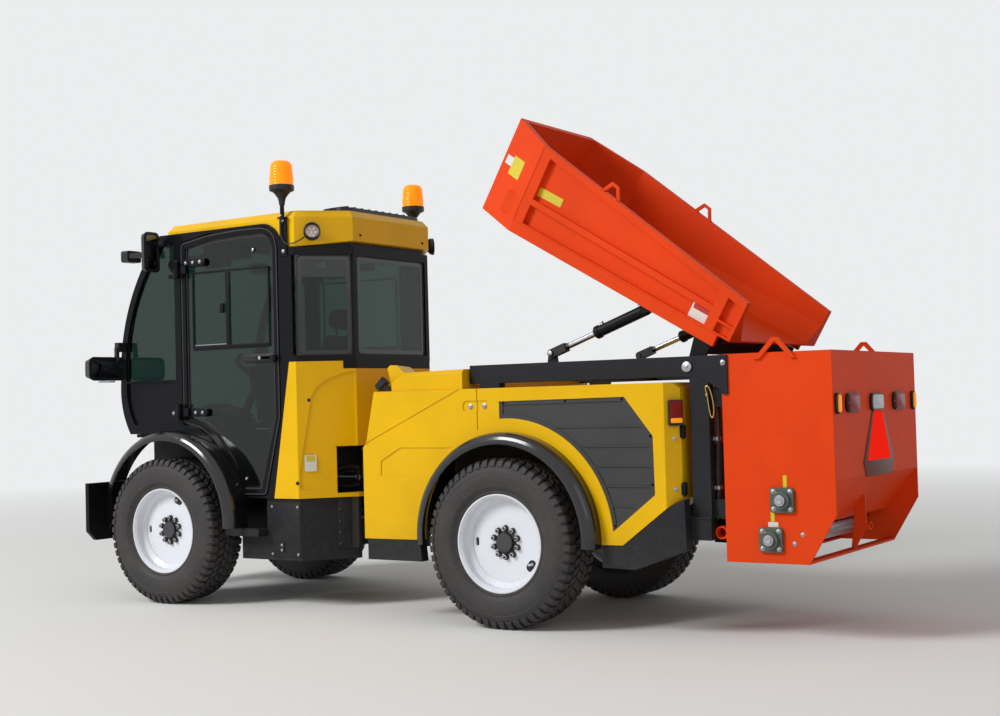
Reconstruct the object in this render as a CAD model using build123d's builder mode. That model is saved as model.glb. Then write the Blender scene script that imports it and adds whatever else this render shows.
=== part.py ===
from build123d import *
import os
from math import cos, sin, radians, hypot

os.makedirs("parts", exist_ok=True)

# Articulated compact tractor with a tipping hopper and a rear spreader box, in millimetres.
# +X is forward, +Y is left, Z = 0 is the ground, and the origin is below the middle of its length.

# Chassis and wheels
wheelbase = 2483.0
track = 1280.0
front_overhang = 737.0
rear_overhang = 1800.0
tyre_diameter = 894.0
tyre_width = 283.0
rim_seat_diameter = 495.0
rim_flange_diameter = 520.0
rim_width = 234.0
rim_wall = 8.0
rim_well_depth = 28.0
disc_recess = 75.0
disc_wall = 12.0
hub_cap_diameter = 100.0
hub_cap_length = 26.0
nut_circle = 152.0
nut_count = 10
nut_size = 22.0
seat_gap = 0.3

rear_axle_x = (rear_overhang - front_overhang - wheelbase) / 2
front_axle_x = rear_axle_x + wheelbase
axle_height = tyre_diameter / 2

# Frames and the articulation joint
pivot_from_rear_axle = 1100.0
pivot_x = rear_axle_x + pivot_from_rear_axle
pivot_pin_diameter = 60.0
pivot_pin_clearance = 0.05
pivot_eye_radius = 75.0
fork_plate = 25.0
frame_bottom = 560.0
frame_top = 650.0
frame_half_width = 150.0
lug_neck = 150.0
axle_tube_diameter = 110.0
brake_drum_diameter = 250.0
brake_drum_width = 90.0
housing_diameter = 220.0
housing_width = 260.0

# Tool plate at the front
tool_hole_spacing = 260.0
tool_hole_diameter = 22.0

# Steering rams, from ears on the rear frame to lugs on the front frame
ram_rear_back = 520.0
ram_rear_y = 235.0
ram_front_ahead = 140.0
ram_front_y = 225.0
ram_ear = 12.0
ram_lug = 16.0
ram_pin_diameter = 24.0
ram_barrel_diameter = 56.0
ram_barrel_length = 400.0
ram_rod_diameter = 30.0
ram_rod_length = 462.0
fork_depth = 80.0
fork_base = 12.0
fork_gap = 6.0

# Cab, with stations forward from the front axle, drawn for a pivot this far behind it
drawn_pivot_back = 1383.0
cab_half_width = 640.0
cab_wall = 40.0
floor_plate = 25.0
cab_rear = -1249.0
cab_rear_half_width = 370.0
cab_facet_start = -1013.0
cab_side_rear = -993.0
cab_waist = 1456.0
waist_step_back = -1197.0
waist_step_drop = 46.0
notch_half_width = 467.0
notch_top = 951.0
panel_emboss = 5.0
door_gap = 7.0
door_front = -83.0
door_rear = -883.0
door_hinge_out = 35.0
door_corner_radius = 150.0
door_corner_least = 6.0
pillar_rear = -910.0
glass_thickness = 6.0
roof_top = 2352.0
roof_bottom = 2135.0
roof_bottom_rear = 2170.0
roof_front = 120.0
roof_half_width = 600.0

# Rear module, with stations measured forward from the rear axle
cover_half_width = 700.0
cover_front = 934.0
cover_rear = -985.0
cover_top = 1262.0
cover_wall = 22.0
arch_centre = (-30.0, 475.0)
arch_outer_radius = 555.0
guard_outside = 800.0
guard_skin = 8.0
guard_lip = 62.0
guard_shoulder = 50.0
guard_seat = 3.0
front_arch_centre = (-53.0, 505.0)
front_arch_outer_radius = 560.0
corner_chamfer_back = -955.0

# Tipping frame, hopper and its cylinders
box_half_width = 621.0
rail_outside = box_half_width
rail_width = 60.0
tip_pin_height = 1336.0
rail_top = tip_pin_height + 52
rail_height = 100.0
rail_front = 247.0
tip_pin_back = 1050.0
tip_pin_diameter = 40.0
hopper_raised = 30.0
hopper_half_width = rail_outside - 51
hopper_length = 1630.0
hopper_tail = -120.0
hopper_floor = 200.0
hopper_wall = 10.0
rim_height_rear = 415.0
rim_height_front = 684.0
cylinder_y = rail_outside - 121
barrel_diameter = 60.0
rod_diameter = 32.0
barrel_eye_along = 370.0
barrel_eye_up = 150.0
rod_eye_back = 209.0
rod_eye_height = rail_top + 50

# Spreader box at the back
box_front = -1232.0
box_rear = -1790.0
box_top = rail_top + 3
box_bottom = 387.0
box_plate = 10.0
rotor_shaft_diameter = 35.0
rotor_tube_radius = 38.0
rotor_bars = 4
bearing_size = 117.0


ram_level = (frame_bottom + frame_top) / 2
ram_rear_x = pivot_x - ram_rear_back
ram_front_x = pivot_x + ram_front_ahead


def at_rear(x):
    return rear_axle_x + x


def at_front(x):
    stretch = (front_axle_x - pivot_x) / drawn_pivot_back
    return front_axle_x + (x * stretch if x < 0 else x)


def finish(part, name):
    part.label = name
    export_step(part, f"parts/{name}.step")


# Wheels: one tyre and one rim each
wheel_table = [
    # name, axle x, side (+1 left, -1 right)
    ("front_left", front_axle_x, 1),
    ("front_right", front_axle_x, -1),
    ("rear_left", rear_axle_x, 1),
    ("rear_right", rear_axle_x, -1),
]

rim_edge = rim_width / 2
seat_radius = rim_seat_diameter / 2
flange_radius = rim_flange_diameter / 2
well_radius = seat_radius - rim_well_depth
disc_face = rim_edge - disc_recess
for wheel_name, wheel_x, side in wheel_table:
    centre = (wheel_x, side * track / 2, axle_height)
    section = Plane(origin=centre, x_dir=(0, side, 0), z_dir=(side, 0, 0))
    spin = Axis(centre, (0, 1, 0))

    tyre_radius = tyre_diameter / 2
    half_tyre = tyre_width / 2
    bead = seat_radius + seat_gap
    with BuildPart() as tyre:
        with BuildSketch(section):
            with BuildLine():
                Polyline(
                    (rim_edge - 2, flange_radius + 5),
                    (rim_edge - 15, flange_radius + 1),
                    (rim_edge - 24, bead),
                    (-rim_edge + 24, bead),
                    (-rim_edge + 15, flange_radius + 1),
                    (-rim_edge + 2, flange_radius + 5),
                )
                Polyline(
                    (-rim_edge + 2, flange_radius + 5),
                    (-half_tyre + 7, flange_radius + 42),
                    (-half_tyre, flange_radius + 88),
                    (-half_tyre + 5, tyre_radius - 50),
                    (-half_tyre + 22, tyre_radius - 12),
                    (-half_tyre + 52, tyre_radius),
                    (half_tyre - 52, tyre_radius),
                    (half_tyre - 22, tyre_radius - 12),
                    (half_tyre - 5, tyre_radius - 50),
                    (half_tyre, flange_radius + 88),
                    (half_tyre - 7, flange_radius + 42),
                    (rim_edge - 2, flange_radius + 5),
                )
            make_face()
        revolve(axis=spin)
    finish(tyre.part, f"tyre_{wheel_name}")

    with BuildPart() as rim:
        with BuildSketch(section):
            with BuildLine():
                Polyline(
                    (-rim_edge, flange_radius),
                    (-rim_edge + 14, flange_radius),
                    (-rim_edge + 22, seat_radius),
                    (-rim_edge + 55, seat_radius),
                    (-rim_edge + 75, well_radius),
                    (rim_edge - 75, well_radius),
                    (rim_edge - 55, seat_radius),
                    (rim_edge - 22, seat_radius),
                    (rim_edge - 14, flange_radius),
                    (rim_edge, flange_radius),
                    (rim_edge, flange_radius - rim_wall),
                    (rim_edge - 14, seat_radius - rim_wall),
                    (rim_edge - 50, seat_radius - rim_wall),
                    (rim_edge - 70, well_radius - rim_wall),
                    (-rim_edge + 70, well_radius - rim_wall),
                    (-rim_edge + 50, seat_radius - rim_wall),
                    (-rim_edge + 14, seat_radius - rim_wall),
                    (-rim_edge, flange_radius - rim_wall),
                    close=True,
                )
            make_face()
            with BuildLine():
                Polyline(
                    (disc_face - disc_wall, well_radius - rim_wall + 2),
                    (disc_face - disc_wall, 0),
                    (disc_face + hub_cap_length, 0),
                    (disc_face + hub_cap_length, hub_cap_diameter / 2 - 4),
                    (disc_face + hub_cap_length - 4, hub_cap_diameter / 2),
                    (disc_face, hub_cap_diameter / 2),
                    (disc_face, well_radius - rim_wall + 2),
                    close=True,
                )
            make_face()
        revolve(axis=spin)
        nut_plane = Plane(origin=(wheel_x, side * (track / 2 + disc_face), axle_height), z_dir=(0, side, 0))
        with BuildSketch(nut_plane):
            with PolarLocations(nut_circle / 2, nut_count):
                RegularPolygon(nut_size / 2, 6)
        extrude(amount=nut_size)
        with BuildSketch(nut_plane):
            with Locations((0, well_radius - rim_wall - 28)):
                SlotOverall(46, 22)
        extrude(amount=-60, mode=Mode.SUBTRACT)
    finish(rim.part, f"rim_{wheel_name}")

# Axles: tube, centre housing and brake drums up to the wheel discs
drum_face = track / 2 + disc_face - disc_wall - seat_gap
for axle_name, axle_x in [("front_axle", front_axle_x), ("rear_axle", rear_axle_x)]:
    middle = Plane(origin=(axle_x, 0, axle_height), z_dir=(0, 1, 0))
    with BuildPart() as axle:
        with BuildSketch(middle):
            Circle(axle_tube_diameter / 2)
        extrude(amount=drum_face, both=True)
        with BuildSketch(middle):
            Circle(housing_diameter / 2)
        extrude(amount=housing_width / 2, both=True, taper=12)
        for side in (1, -1):
            with BuildSketch(Plane(origin=(axle_x, side * drum_face, axle_height), z_dir=(0, -side, 0))):
                Circle(brake_drum_diameter / 2)
            extrude(amount=brake_drum_width)
        with BuildSketch(Plane.XY.offset(frame_bottom - seat_gap)):
            for side in (1, -1):
                with Locations((axle_x, side * (frame_half_width - 30))):
                    Rectangle(160, 60)
        extrude(amount=-(frame_bottom - seat_gap - axle_height))
    finish(axle.part, axle_name)

# Rear frame: box beam with the fork of the articulation joint and its pin
fork_top = frame_top + fork_plate
fork_bottom = frame_bottom - fork_plate
fork_root = pivot_x - lug_neck
with BuildPart() as rear_frame:
    with BuildSketch(Plane.XY.offset(frame_bottom)):
        with Locations(((fork_root - 40 + at_rear(box_front + 40)) / 2, 0)):
            Rectangle(fork_root - 40 - at_rear(box_front + 40), 2 * frame_half_width)
    extrude(amount=frame_top - frame_bottom)
    for level in (frame_top, fork_bottom):
        with BuildSketch(Plane.XY.offset(level)):
            with BuildLine():
                Polyline(
                    (fork_root - 250, frame_half_width),
                    (fork_root, frame_half_width - 10),
                    (pivot_x + 10, pivot_eye_radius - 2),
                    (pivot_x + 10, -pivot_eye_radius + 2),
                    (fork_root, -frame_half_width + 10),
                    (fork_root - 250, -frame_half_width),
                    close=True,
                )
            make_face()
            with Locations((pivot_x, 0)):
                Circle(pivot_eye_radius)
        extrude(amount=fork_plate)
    with BuildSketch(Plane.XY.offset(fork_bottom - 12)):
        with Locations((pivot_x, 0)):
            Circle(pivot_pin_diameter / 2)
    extrude(amount=fork_top - fork_bottom + 24)
    for side in (1, -1):
        for level in (frame_bottom, frame_top - ram_ear):
            with BuildSketch(Plane.XY.offset(level)):
                with BuildLine():
                    Polyline(
                        (ram_rear_x - 70, side * (frame_half_width - 5)),
                        (ram_rear_x - 26, side * ram_rear_y),
                        (ram_rear_x + 26, side * ram_rear_y),
                        (ram_rear_x + 70, side * (frame_half_width - 5)),
                        close=True,
                    )
                make_face()
                with Locations((ram_rear_x, side * ram_rear_y)):
                    Circle(26)
            extrude(amount=ram_ear)
        with BuildSketch(Plane.XY.offset(frame_bottom)):
            with Locations((ram_rear_x, side * ram_rear_y)):
                Circle(ram_pin_diameter / 2)
        extrude(amount=frame_top - frame_bottom)
finish(rear_frame.part, "rear_frame")

# Front frame: box beam, pivot lug between the fork plates, and ram lugs
lug_gap = 5.0
with BuildPart() as front_frame:
    beam_back = pivot_x + lug_neck
    beam_front = at_front(front_overhang - 60)
    with BuildSketch(Plane.XY.offset(frame_bottom)):
        with Locations(((beam_back + beam_front) / 2, 0)):
            Rectangle(beam_front - beam_back, 2 * frame_half_width)
    extrude(amount=frame_top - frame_bottom)
    with BuildSketch(Plane.XY.offset(frame_bottom + lug_gap)):
        with BuildLine():
            Polyline(
                (beam_back + 10, frame_half_width - 40),
                (pivot_x, pivot_eye_radius - 10),
                (pivot_x, -pivot_eye_radius + 10),
                (beam_back + 10, -frame_half_width + 40),
                close=True,
            )
        make_face()
        with Locations((pivot_x, 0)):
            Circle(pivot_eye_radius - 10)
    extrude(amount=frame_top - frame_bottom - 2 * lug_gap)
    with BuildSketch(Plane.XY.offset(frame_bottom)):
        with Locations((pivot_x, 0)):
            Circle(pivot_pin_diameter / 2 + pivot_pin_clearance)
    extrude(amount=frame_top - frame_bottom, mode=Mode.SUBTRACT)
    for side in (1, -1):
        with BuildSketch(Plane.XY.offset(ram_level - ram_lug / 2)):
            with BuildLine():
                Polyline(
                    (beam_back + 5, side * (frame_half_width - 5)),
                    (ram_front_x - 22, side * (ram_front_y - 10)),
                    (ram_front_x + 18, side * (ram_front_y + 18)),
                    (beam_back + 130, side * (frame_half_width - 5)),
                    close=True,
                )
            make_face()
            with Locations((ram_front_x, side * ram_front_y)):
                Circle(26)
        extrude(amount=ram_lug)
finish(front_frame.part, "front_frame")

# Tool plate on the nose of the front frame
plate_x = at_front(front_overhang)
with BuildPart() as tool_plate:
    with BuildSketch(Plane.YZ.offset(plate_x - 30)) as plate_outline:
        with Locations((0, 545)):
            Rectangle(1440, 370)
        chamfer(plate_outline.vertices().group_by(Axis.Y)[0], 60)
        with Locations((0, 545)):
            with GridLocations(tool_hole_spacing, tool_hole_spacing, 2, 2):
                Circle(tool_hole_diameter / 2, mode=Mode.SUBTRACT)
    extrude(amount=30)
    with BuildSketch(Plane.YZ.offset(plate_x - 60)):
        with Locations((0, (frame_bottom + frame_top) / 2)):
            Rectangle(2 * frame_half_width, frame_top - frame_bottom)
    extrude(amount=30)
    for side in (1, -1):
        for y in (250, 560):
            with BuildSketch(Plane.XZ.offset(-side * y)):
                with BuildLine():
                    Polyline(
                        (plate_x - 29, 712),
                        (plate_x - 29, 430),
                        (plate_x - 62, 470),
                        (plate_x - 62, 690),
                        close=True,
                    )
                make_face()
            extrude(amount=side * 14)
finish(tool_plate.part, "tool_plate")

# Cab plan: straight sides with cut rear corners that clear the rear module in a turn
def cab_plan(inset, front):
    side_y = cab_half_width - inset
    rear_y = cab_rear_half_width - 0.41 * inset
    return [
        (at_front(front), side_y),
        (at_front(cab_facet_start) + 0.41 * inset, side_y),
        (at_front(cab_rear) + inset, rear_y),
        (at_front(cab_rear) + inset, -rear_y),
        (at_front(cab_facet_start) + 0.41 * inset, -side_y),
        (at_front(front), -side_y),
    ]


# Yellow rear corner panels of the cab, one piece round the back, with an embossed field on each cut corner
wheel_box_y = 450.0
wheel_box_back = -500.0
wheel_box_top = 1040.0
cab_nose = 385.0
panel_low = -822.0
panel_high = -960.0
frame_depth = 45.0
floor_level = frame_top + seat_gap
facet_run = at_front(cab_rear) - at_front(cab_facet_start)
facet_turn = cab_rear_half_width - cab_half_width
facet_length = hypot(facet_run, facet_turn)
emboss_outline = [
    # along the cut corner from the side, height
    (12, 700),
    (12, 820),
    (86, 1243),
    (117, 1301),
    (185, 1351),
    (290, 1386),
    (350, 1392),
    (350, notch_top - 5),
    (225, notch_top - 5),
    (225, 700),
]


def facet_plane(side, inset):
    along = (side * facet_run / facet_length, facet_turn / facet_length, 0)
    outward = (facet_turn / facet_length, -side * facet_run / facet_length, 0)
    start = (
        at_front(cab_facet_start) - inset * outward[0],
        side * cab_half_width - inset * outward[1],
        0,
    )
    return Plane(origin=start, x_dir=along, z_dir=outward)


with BuildPart() as cab_body:
    with BuildSketch(Plane.XY.offset(floor_level)):
        with BuildLine():
            Polyline(*cab_plan(0, panel_low), close=True)
        make_face()
        with BuildLine():
            Polyline(*cab_plan(cab_wall, panel_low + 5), close=True)
        make_face(mode=Mode.SUBTRACT)
    extrude(amount=cab_waist - floor_level)
    with BuildSketch(Plane.XZ):
        with BuildLine():
            Polyline(
                (at_front(panel_low), floor_level),
                (at_front(panel_high), cab_waist),
                (at_front(panel_high), cab_waist + 10),
                (at_front(panel_low + 10), cab_waist + 10),
                (at_front(panel_low + 10), floor_level),
                close=True,
            )
        make_face()
        with BuildLine():
            Polyline(
                (at_front(waist_step_back), cab_waist + 10),
                (at_front(waist_step_back), cab_waist - waist_step_drop),
                (at_front(cab_rear) - 10, cab_waist - waist_step_drop),
                (at_front(cab_rear) - 10, cab_waist + 10),
                close=True,
            )
        make_face()
    extrude(amount=cab_half_width + 10, both=True, mode=Mode.SUBTRACT)
    with BuildSketch(Plane.YZ.offset(at_front(cab_rear) - 5)):
        with Locations((0, (floor_level + floor_plate + notch_top) / 2)):
            Rectangle(2 * notch_half_width, notch_top - floor_level - floor_plate)
    extrude(amount=160, mode=Mode.SUBTRACT)
    for side in (1, -1):
        with BuildSketch(facet_plane(side, panel_emboss)) as field:
            with BuildLine():
                Polyline(*[(side * along, up) for along, up in emboss_outline], close=True)
            make_face()
        extrude(field.sketch, amount=2 * panel_emboss, mode=Mode.SUBTRACT)
finish(cab_body.part, "cab_body")

# Black floor pan inside the panels and frames, with the boxes over the wheels and the front bulkhead
with BuildPart() as floor_pan:
    with BuildSketch(Plane.XY.offset(floor_level)):
        with BuildLine():
            Polyline(*cab_plan(frame_depth + seat_gap, wheel_box_back), close=True)
        make_face()
        with BuildLine():
            Polyline(*cab_plan(cab_wall + seat_gap, panel_low - 8), close=True)
        make_face()
        with Locations(((at_front(wheel_box_back) + at_front(cab_nose)) / 2, 0)):
            Rectangle(at_front(cab_nose) - at_front(wheel_box_back), 2 * wheel_box_y)
    extrude(amount=floor_plate)
    for side in (1, -1):
        with BuildSketch(Plane.XZ.offset(-side * wheel_box_y)):
            with BuildLine():
                Polyline(
                    (at_front(wheel_box_back), floor_level),
                    (at_front(wheel_box_back), floor_level + floor_plate),
                    (at_front(wheel_box_back + 60), 900),
                    (at_front(-280), wheel_box_top),
                    (at_front(cab_nose), wheel_box_top),
                    (at_front(cab_nose), floor_level),
                    close=True,
                )
            make_face()
        extrude(amount=side * 20)
    with BuildSketch(Plane.YZ.offset(at_front(cab_nose) - 20)):
        with Locations((0, (floor_level + wheel_box_top) / 2)):
            Rectangle(2 * wheel_box_y, wheel_box_top - floor_level)
    extrude(amount=20)
    ledge_wide = cab_half_width - frame_depth - seat_gap - wheel_box_y
    with BuildSketch(Plane.YZ.offset(at_front(-280))):
        for side in (1, -1):
            with Locations((side * (wheel_box_y + ledge_wide / 2), wheel_box_top - 10)):
                Rectangle(ledge_wide, 20)
    extrude(amount=at_front(cab_nose) - at_front(-280))
finish(floor_pan.part, "floor_pan")

# Door outline, measured from the front axle
door_outline = [
    # x, height, corner radius, how far the point moves out in x and z as the outline grows
    (door_front, 1108, 6, 1, -1),
    (door_front, 2226, 40, 1, 1),
    (-330, 2264, 900, 0, 1),
    (-560, 2274, 900, 0, 1),
    (door_rear, 2272, door_corner_radius, -1, 1),
    (door_rear, 1130, 120, -1, 0),
    (-760, 668, 30, -1, -1),
    (-545, 668, 30, 1, -1),
    (-452, 865, 100, 1, -0.6),
    (-330, 1010, 100, 0.8, -0.8),
    (-225, 1075, 100, 0.5, -1),
]


def door_points(grow):
    return [(at_front(x + grow * dx), z + grow * dz) for x, z, radius, dx, dz in door_outline]


def door_radii(grow):
    return [max(radius + grow, door_corner_least) for x, z, radius, dx, dz in door_outline]


hinge_x = at_front(door_front + 4)
hinge_y = cab_half_width + door_hinge_out
hinge_pin = 16.0
hinge_heights = (1175.0, 2060.0)
knuckle_height = 50.0

# Black cab frame: side rings round the doors and front panes, and the cross members
frame_high = 2290.0
pane_low = 1380.0
with BuildPart() as cab_frame:
    for side in (1, -1):
        with BuildSketch(Plane.XZ.offset(-side * cab_half_width)):
            with BuildLine():
                FilletPolyline(
                    (at_front(panel_high + 1), cab_waist + seat_gap),
                    (at_front(cab_side_rear), cab_waist + seat_gap),
                    (at_front(cab_side_rear), roof_bottom - seat_gap),
                    (at_front(pillar_rear), roof_bottom - seat_gap),
                    (at_front(pillar_rear), frame_high),
                    (at_front(95), frame_high),
                    radius=(0, 0, 0, door_corner_radius),
                )
                ThreePointArc(
                    (at_front(95), frame_high),
                    (at_front(330), 1980),
                    (at_front(472), 1380),
                )
                ThreePointArc(
                    (at_front(472), 1380),
                    (at_front(455), 1180),
                    (at_front(393), 1042),
                )
                Polyline(
                    (at_front(393), 1042),
                    (at_front(-210), 1042),
                    (at_front(-300), 962),
                    (at_front(-415), 850),
                    (at_front(-500), floor_level),
                    (at_front(panel_low + 1), floor_level),
                    (at_front(panel_high + 1), cab_waist + seat_gap),
                )
            make_face()
            with BuildLine():
                FilletPolyline(*door_points(door_gap), radius=door_radii(door_gap), close=True)
            make_face(mode=Mode.SUBTRACT)
            with BuildLine():
                Polyline(
                    (at_front(422), pane_low),
                    (at_front(door_front + 60), pane_low),
                    (at_front(door_front + 60), 2240),
                    (at_front(75), 2240),
                )
                ThreePointArc((at_front(75), 2240), (at_front(290), 1960), (at_front(422), pane_low))
            make_face(mode=Mode.SUBTRACT)
        extrude(amount=side * frame_depth)
        with BuildSketch(Plane.XZ.offset(-side * cab_half_width)):
            with BuildLine():
                Polyline(
                    (at_front(418), pane_low - 12),
                    (at_front(door_front + 60), pane_low - 12),
                    (at_front(door_front + 60), 1100),
                    (at_front(350), 1100),
                )
                ThreePointArc((at_front(350), 1100), (at_front(404), 1215), (at_front(418), pane_low - 12))
            make_face()
        extrude(amount=side * 16, mode=Mode.SUBTRACT)
    for low, high in [(cab_waist + seat_gap, cab_waist + 36), (roof_bottom - 50, roof_bottom - seat_gap)]:
        with BuildSketch(Plane.XY.offset(low)):
            with BuildLine():
                Polyline(*cab_plan(0, cab_side_rear + 10), close=True)
            make_face()
            with BuildLine():
                Polyline(*cab_plan(frame_depth, cab_side_rear + 20), close=True)
            make_face(mode=Mode.SUBTRACT)
        extrude(amount=high - low)
    with BuildSketch(Plane.XY.offset(cab_waist - waist_step_drop + seat_gap)):
        with BuildLine():
            Polyline(*cab_plan(0, cab_side_rear + 10), close=True)
        make_face()
        with BuildLine():
            Polyline(*cab_plan(cab_wall, cab_side_rear + 20), close=True)
        make_face(mode=Mode.SUBTRACT)
        with Locations((at_front(waist_step_back) + 200, 0)):
            Rectangle(400 + 2 * seat_gap, 3 * cab_half_width, mode=Mode.SUBTRACT)
    extrude(amount=waist_step_drop + 10)
    with BuildSketch(Plane.XY.offset(roof_bottom - 20)):
        with BuildLine():
            Polyline(*cab_plan(34, cab_side_rear + 10), close=True)
        make_face()
        with BuildLine():
            Polyline(*cab_plan(34 + frame_depth, cab_side_rear + 20), close=True)
        make_face(mode=Mode.SUBTRACT)
    extrude(amount=roof_bottom_rear - roof_bottom + 20)
    with BuildSketch(Plane.XZ):
        with BuildLine():
            Polyline(
                (at_front(cab_facet_start) + 80, roof_bottom - seat_gap),
                (at_front(cab_facet_start), roof_bottom - seat_gap),
                (at_front(cab_rear) - 10, roof_bottom_rear - seat_gap),
                (at_front(cab_rear) - 10, roof_bottom_rear + 60),
                (at_front(cab_facet_start) + 80, roof_bottom_rear + 60),
                close=True,
            )
        make_face()
    extrude(amount=cab_half_width - 34 + 5, both=True, mode=Mode.SUBTRACT)
    with BuildSketch(Plane.XY.offset(cab_waist + seat_gap)):
        for side in (1, -1):
            with Locations((at_front(cab_rear) + 24, side * (cab_rear_half_width - 12))):
                Rectangle(46, 34)
    extrude(amount=roof_bottom - cab_waist - 2 * seat_gap)
    for x, z in [(78, 2265), (368, 1066)]:
        with BuildSketch(Plane.XZ):
            with Locations((at_front(x), z)):
                Rectangle(34, 46)
        extrude(amount=cab_half_width - frame_depth + 2, both=True)
    for side in (1, -1):
        for level in hinge_heights:
            with BuildSketch(Plane.XY.offset(level - 50)):
                with Locations((hinge_x, side * hinge_y)):
                    Circle(hinge_pin / 2)
            extrude(amount=100)
            for base in (level - 50, level + knuckle_height / 2 + 3):
                with BuildSketch(Plane.XY.offset(base)):
                    with Locations((hinge_x, side * hinge_y)):
                        Circle(hinge_pin)
                    with Locations((hinge_x + 32, side * (cab_half_width + 20))):
                        Rectangle(56, 46)
                extrude(amount=22)
        with BuildSketch(Plane.XZ.offset(-side * (cab_half_width - 1))):
            with Locations((at_front(-941), 2196)):
                Rectangle(54, 232)
        extrude(amount=-side * 8)
        with BuildSketch(Plane.XY.offset(2304)):
            with Locations((at_front(-941), side * 650)):
                RectangleRounded(60, 40, 12)
        extrude(amount=8)
        with BuildSketch(Plane.XY.offset(2304)):
            with Locations((at_front(-941), side * 650)):
                Circle(13)
        extrude(amount=2425 - seat_gap - 2304)
finish(cab_frame.part, "cab_frame")

# Glass behind the doors: two cut corners and the rear pane
with BuildPart() as rear_glass:
    with BuildSketch(Plane.XY.offset(cab_waist + 36 + seat_gap)):
        with BuildLine():
            Polyline(*cab_plan(14, cab_side_rear - seat_gap), close=True)
        make_face()
        with BuildLine():
            Polyline(*cab_plan(14 + glass_thickness, cab_side_rear + 5), close=True)
        make_face(mode=Mode.SUBTRACT)
        for side in (1, -1):
            with Locations((at_front(cab_rear) + 24, side * (cab_rear_half_width - 12))):
                Rectangle(46 + 2 * seat_gap, 34 + 2 * seat_gap, mode=Mode.SUBTRACT)
    extrude(amount=roof_bottom - 50 - cab_waist - 36 - 2 * seat_gap)
finish(rear_glass.part, "rear_glass")

# Windscreen, bent down the front of the cab, and the small panes beside it
def nose_curve(back):
    return [
        (at_front(95) - back, 2242),
        (at_front(330) - back, 1980),
        (at_front(472) - back, 1380),
        (at_front(462) - back, 1215),
        (at_front(410) - back, 1090),
    ]


with BuildPart() as windscreen:
    with BuildSketch(Plane.XZ):
        outer = nose_curve(12)
        inner = nose_curve(12 + glass_thickness)
        with BuildLine():
            ThreePointArc(outer[0], outer[1], outer[2])
            ThreePointArc(outer[2], outer[3], outer[4])
            Line(outer[4], inner[4])
            ThreePointArc(inner[4], inner[3], inner[2])
            ThreePointArc(inner[2], inner[1], inner[0])
            Line(inner[0], outer[0])
        make_face()
    extrude(amount=cab_half_width - frame_depth - seat_gap, both=True)
finish(windscreen.part, "windscreen")

with BuildPart() as side_glass:
    for side in (1, -1):
        with BuildSketch(Plane.XZ.offset(-side * (cab_half_width - 18))):
            with BuildLine():
                Polyline(
                    (at_front(421.5), pane_low + 0.5),
                    (at_front(door_front + 60.5), pane_low + 0.5),
                    (at_front(door_front + 60.5), 2239.5),
                    (at_front(74.5), 2239.5),
                )
                ThreePointArc((at_front(74.5), 2239.5), (at_front(289), 1960), (at_front(421.5), pane_low + 0.5))
            make_face()
        extrude(amount=side * glass_thickness)
finish(side_glass.part, "side_glass")

# Roof: thin over the doors, deep at the back, with a bevelled top edge
roof_under = 2290.5
with BuildPart() as cab_roof:
    roof_points = [
        (at_front(roof_front), 480),
        (at_front(roof_front - 60), roof_half_width),
        (at_front(cab_facet_start), roof_half_width + 30),
        (at_front(cab_rear) - 6, cab_rear_half_width + 10),
    ]
    roof_loop = roof_points + [(x, -y) for x, y in reversed(roof_points)]
    with BuildSketch(Plane.XY.offset(roof_bottom)):
        with BuildLine():
            Polyline(*roof_loop, close=True)
        make_face()
    extrude(amount=roof_top - 40 - roof_bottom)
    with BuildSketch(Plane.XY.offset(roof_top - 40)):
        with BuildLine():
            Polyline(*roof_loop, close=True)
        make_face()
    extrude(amount=40, taper=40)
    with BuildSketch(Plane.XZ):
        with BuildLine():
            FilletPolyline(
                (at_front(pillar_rear) - seat_gap, roof_bottom - 5),
                (at_front(pillar_rear) - seat_gap, roof_under),
                (at_front(roof_front + 10), roof_under),
                (at_front(roof_front + 10), roof_bottom - 5),
                radius=(0, door_corner_radius, 0, 0),
                close=True,
            )
        make_face()
        with BuildLine():
            Polyline(
                (at_front(cab_facet_start), roof_bottom),
                (at_front(cab_rear) - 10, roof_bottom_rear),
                (at_front(cab_rear) - 10, roof_bottom - 5),
                (at_front(cab_facet_start), roof_bottom - 5),
                close=True,
            )
        make_face()
    extrude(amount=roof_half_width + 40, both=True, mode=Mode.SUBTRACT)
finish(cab_roof.part, "cab_roof")

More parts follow.
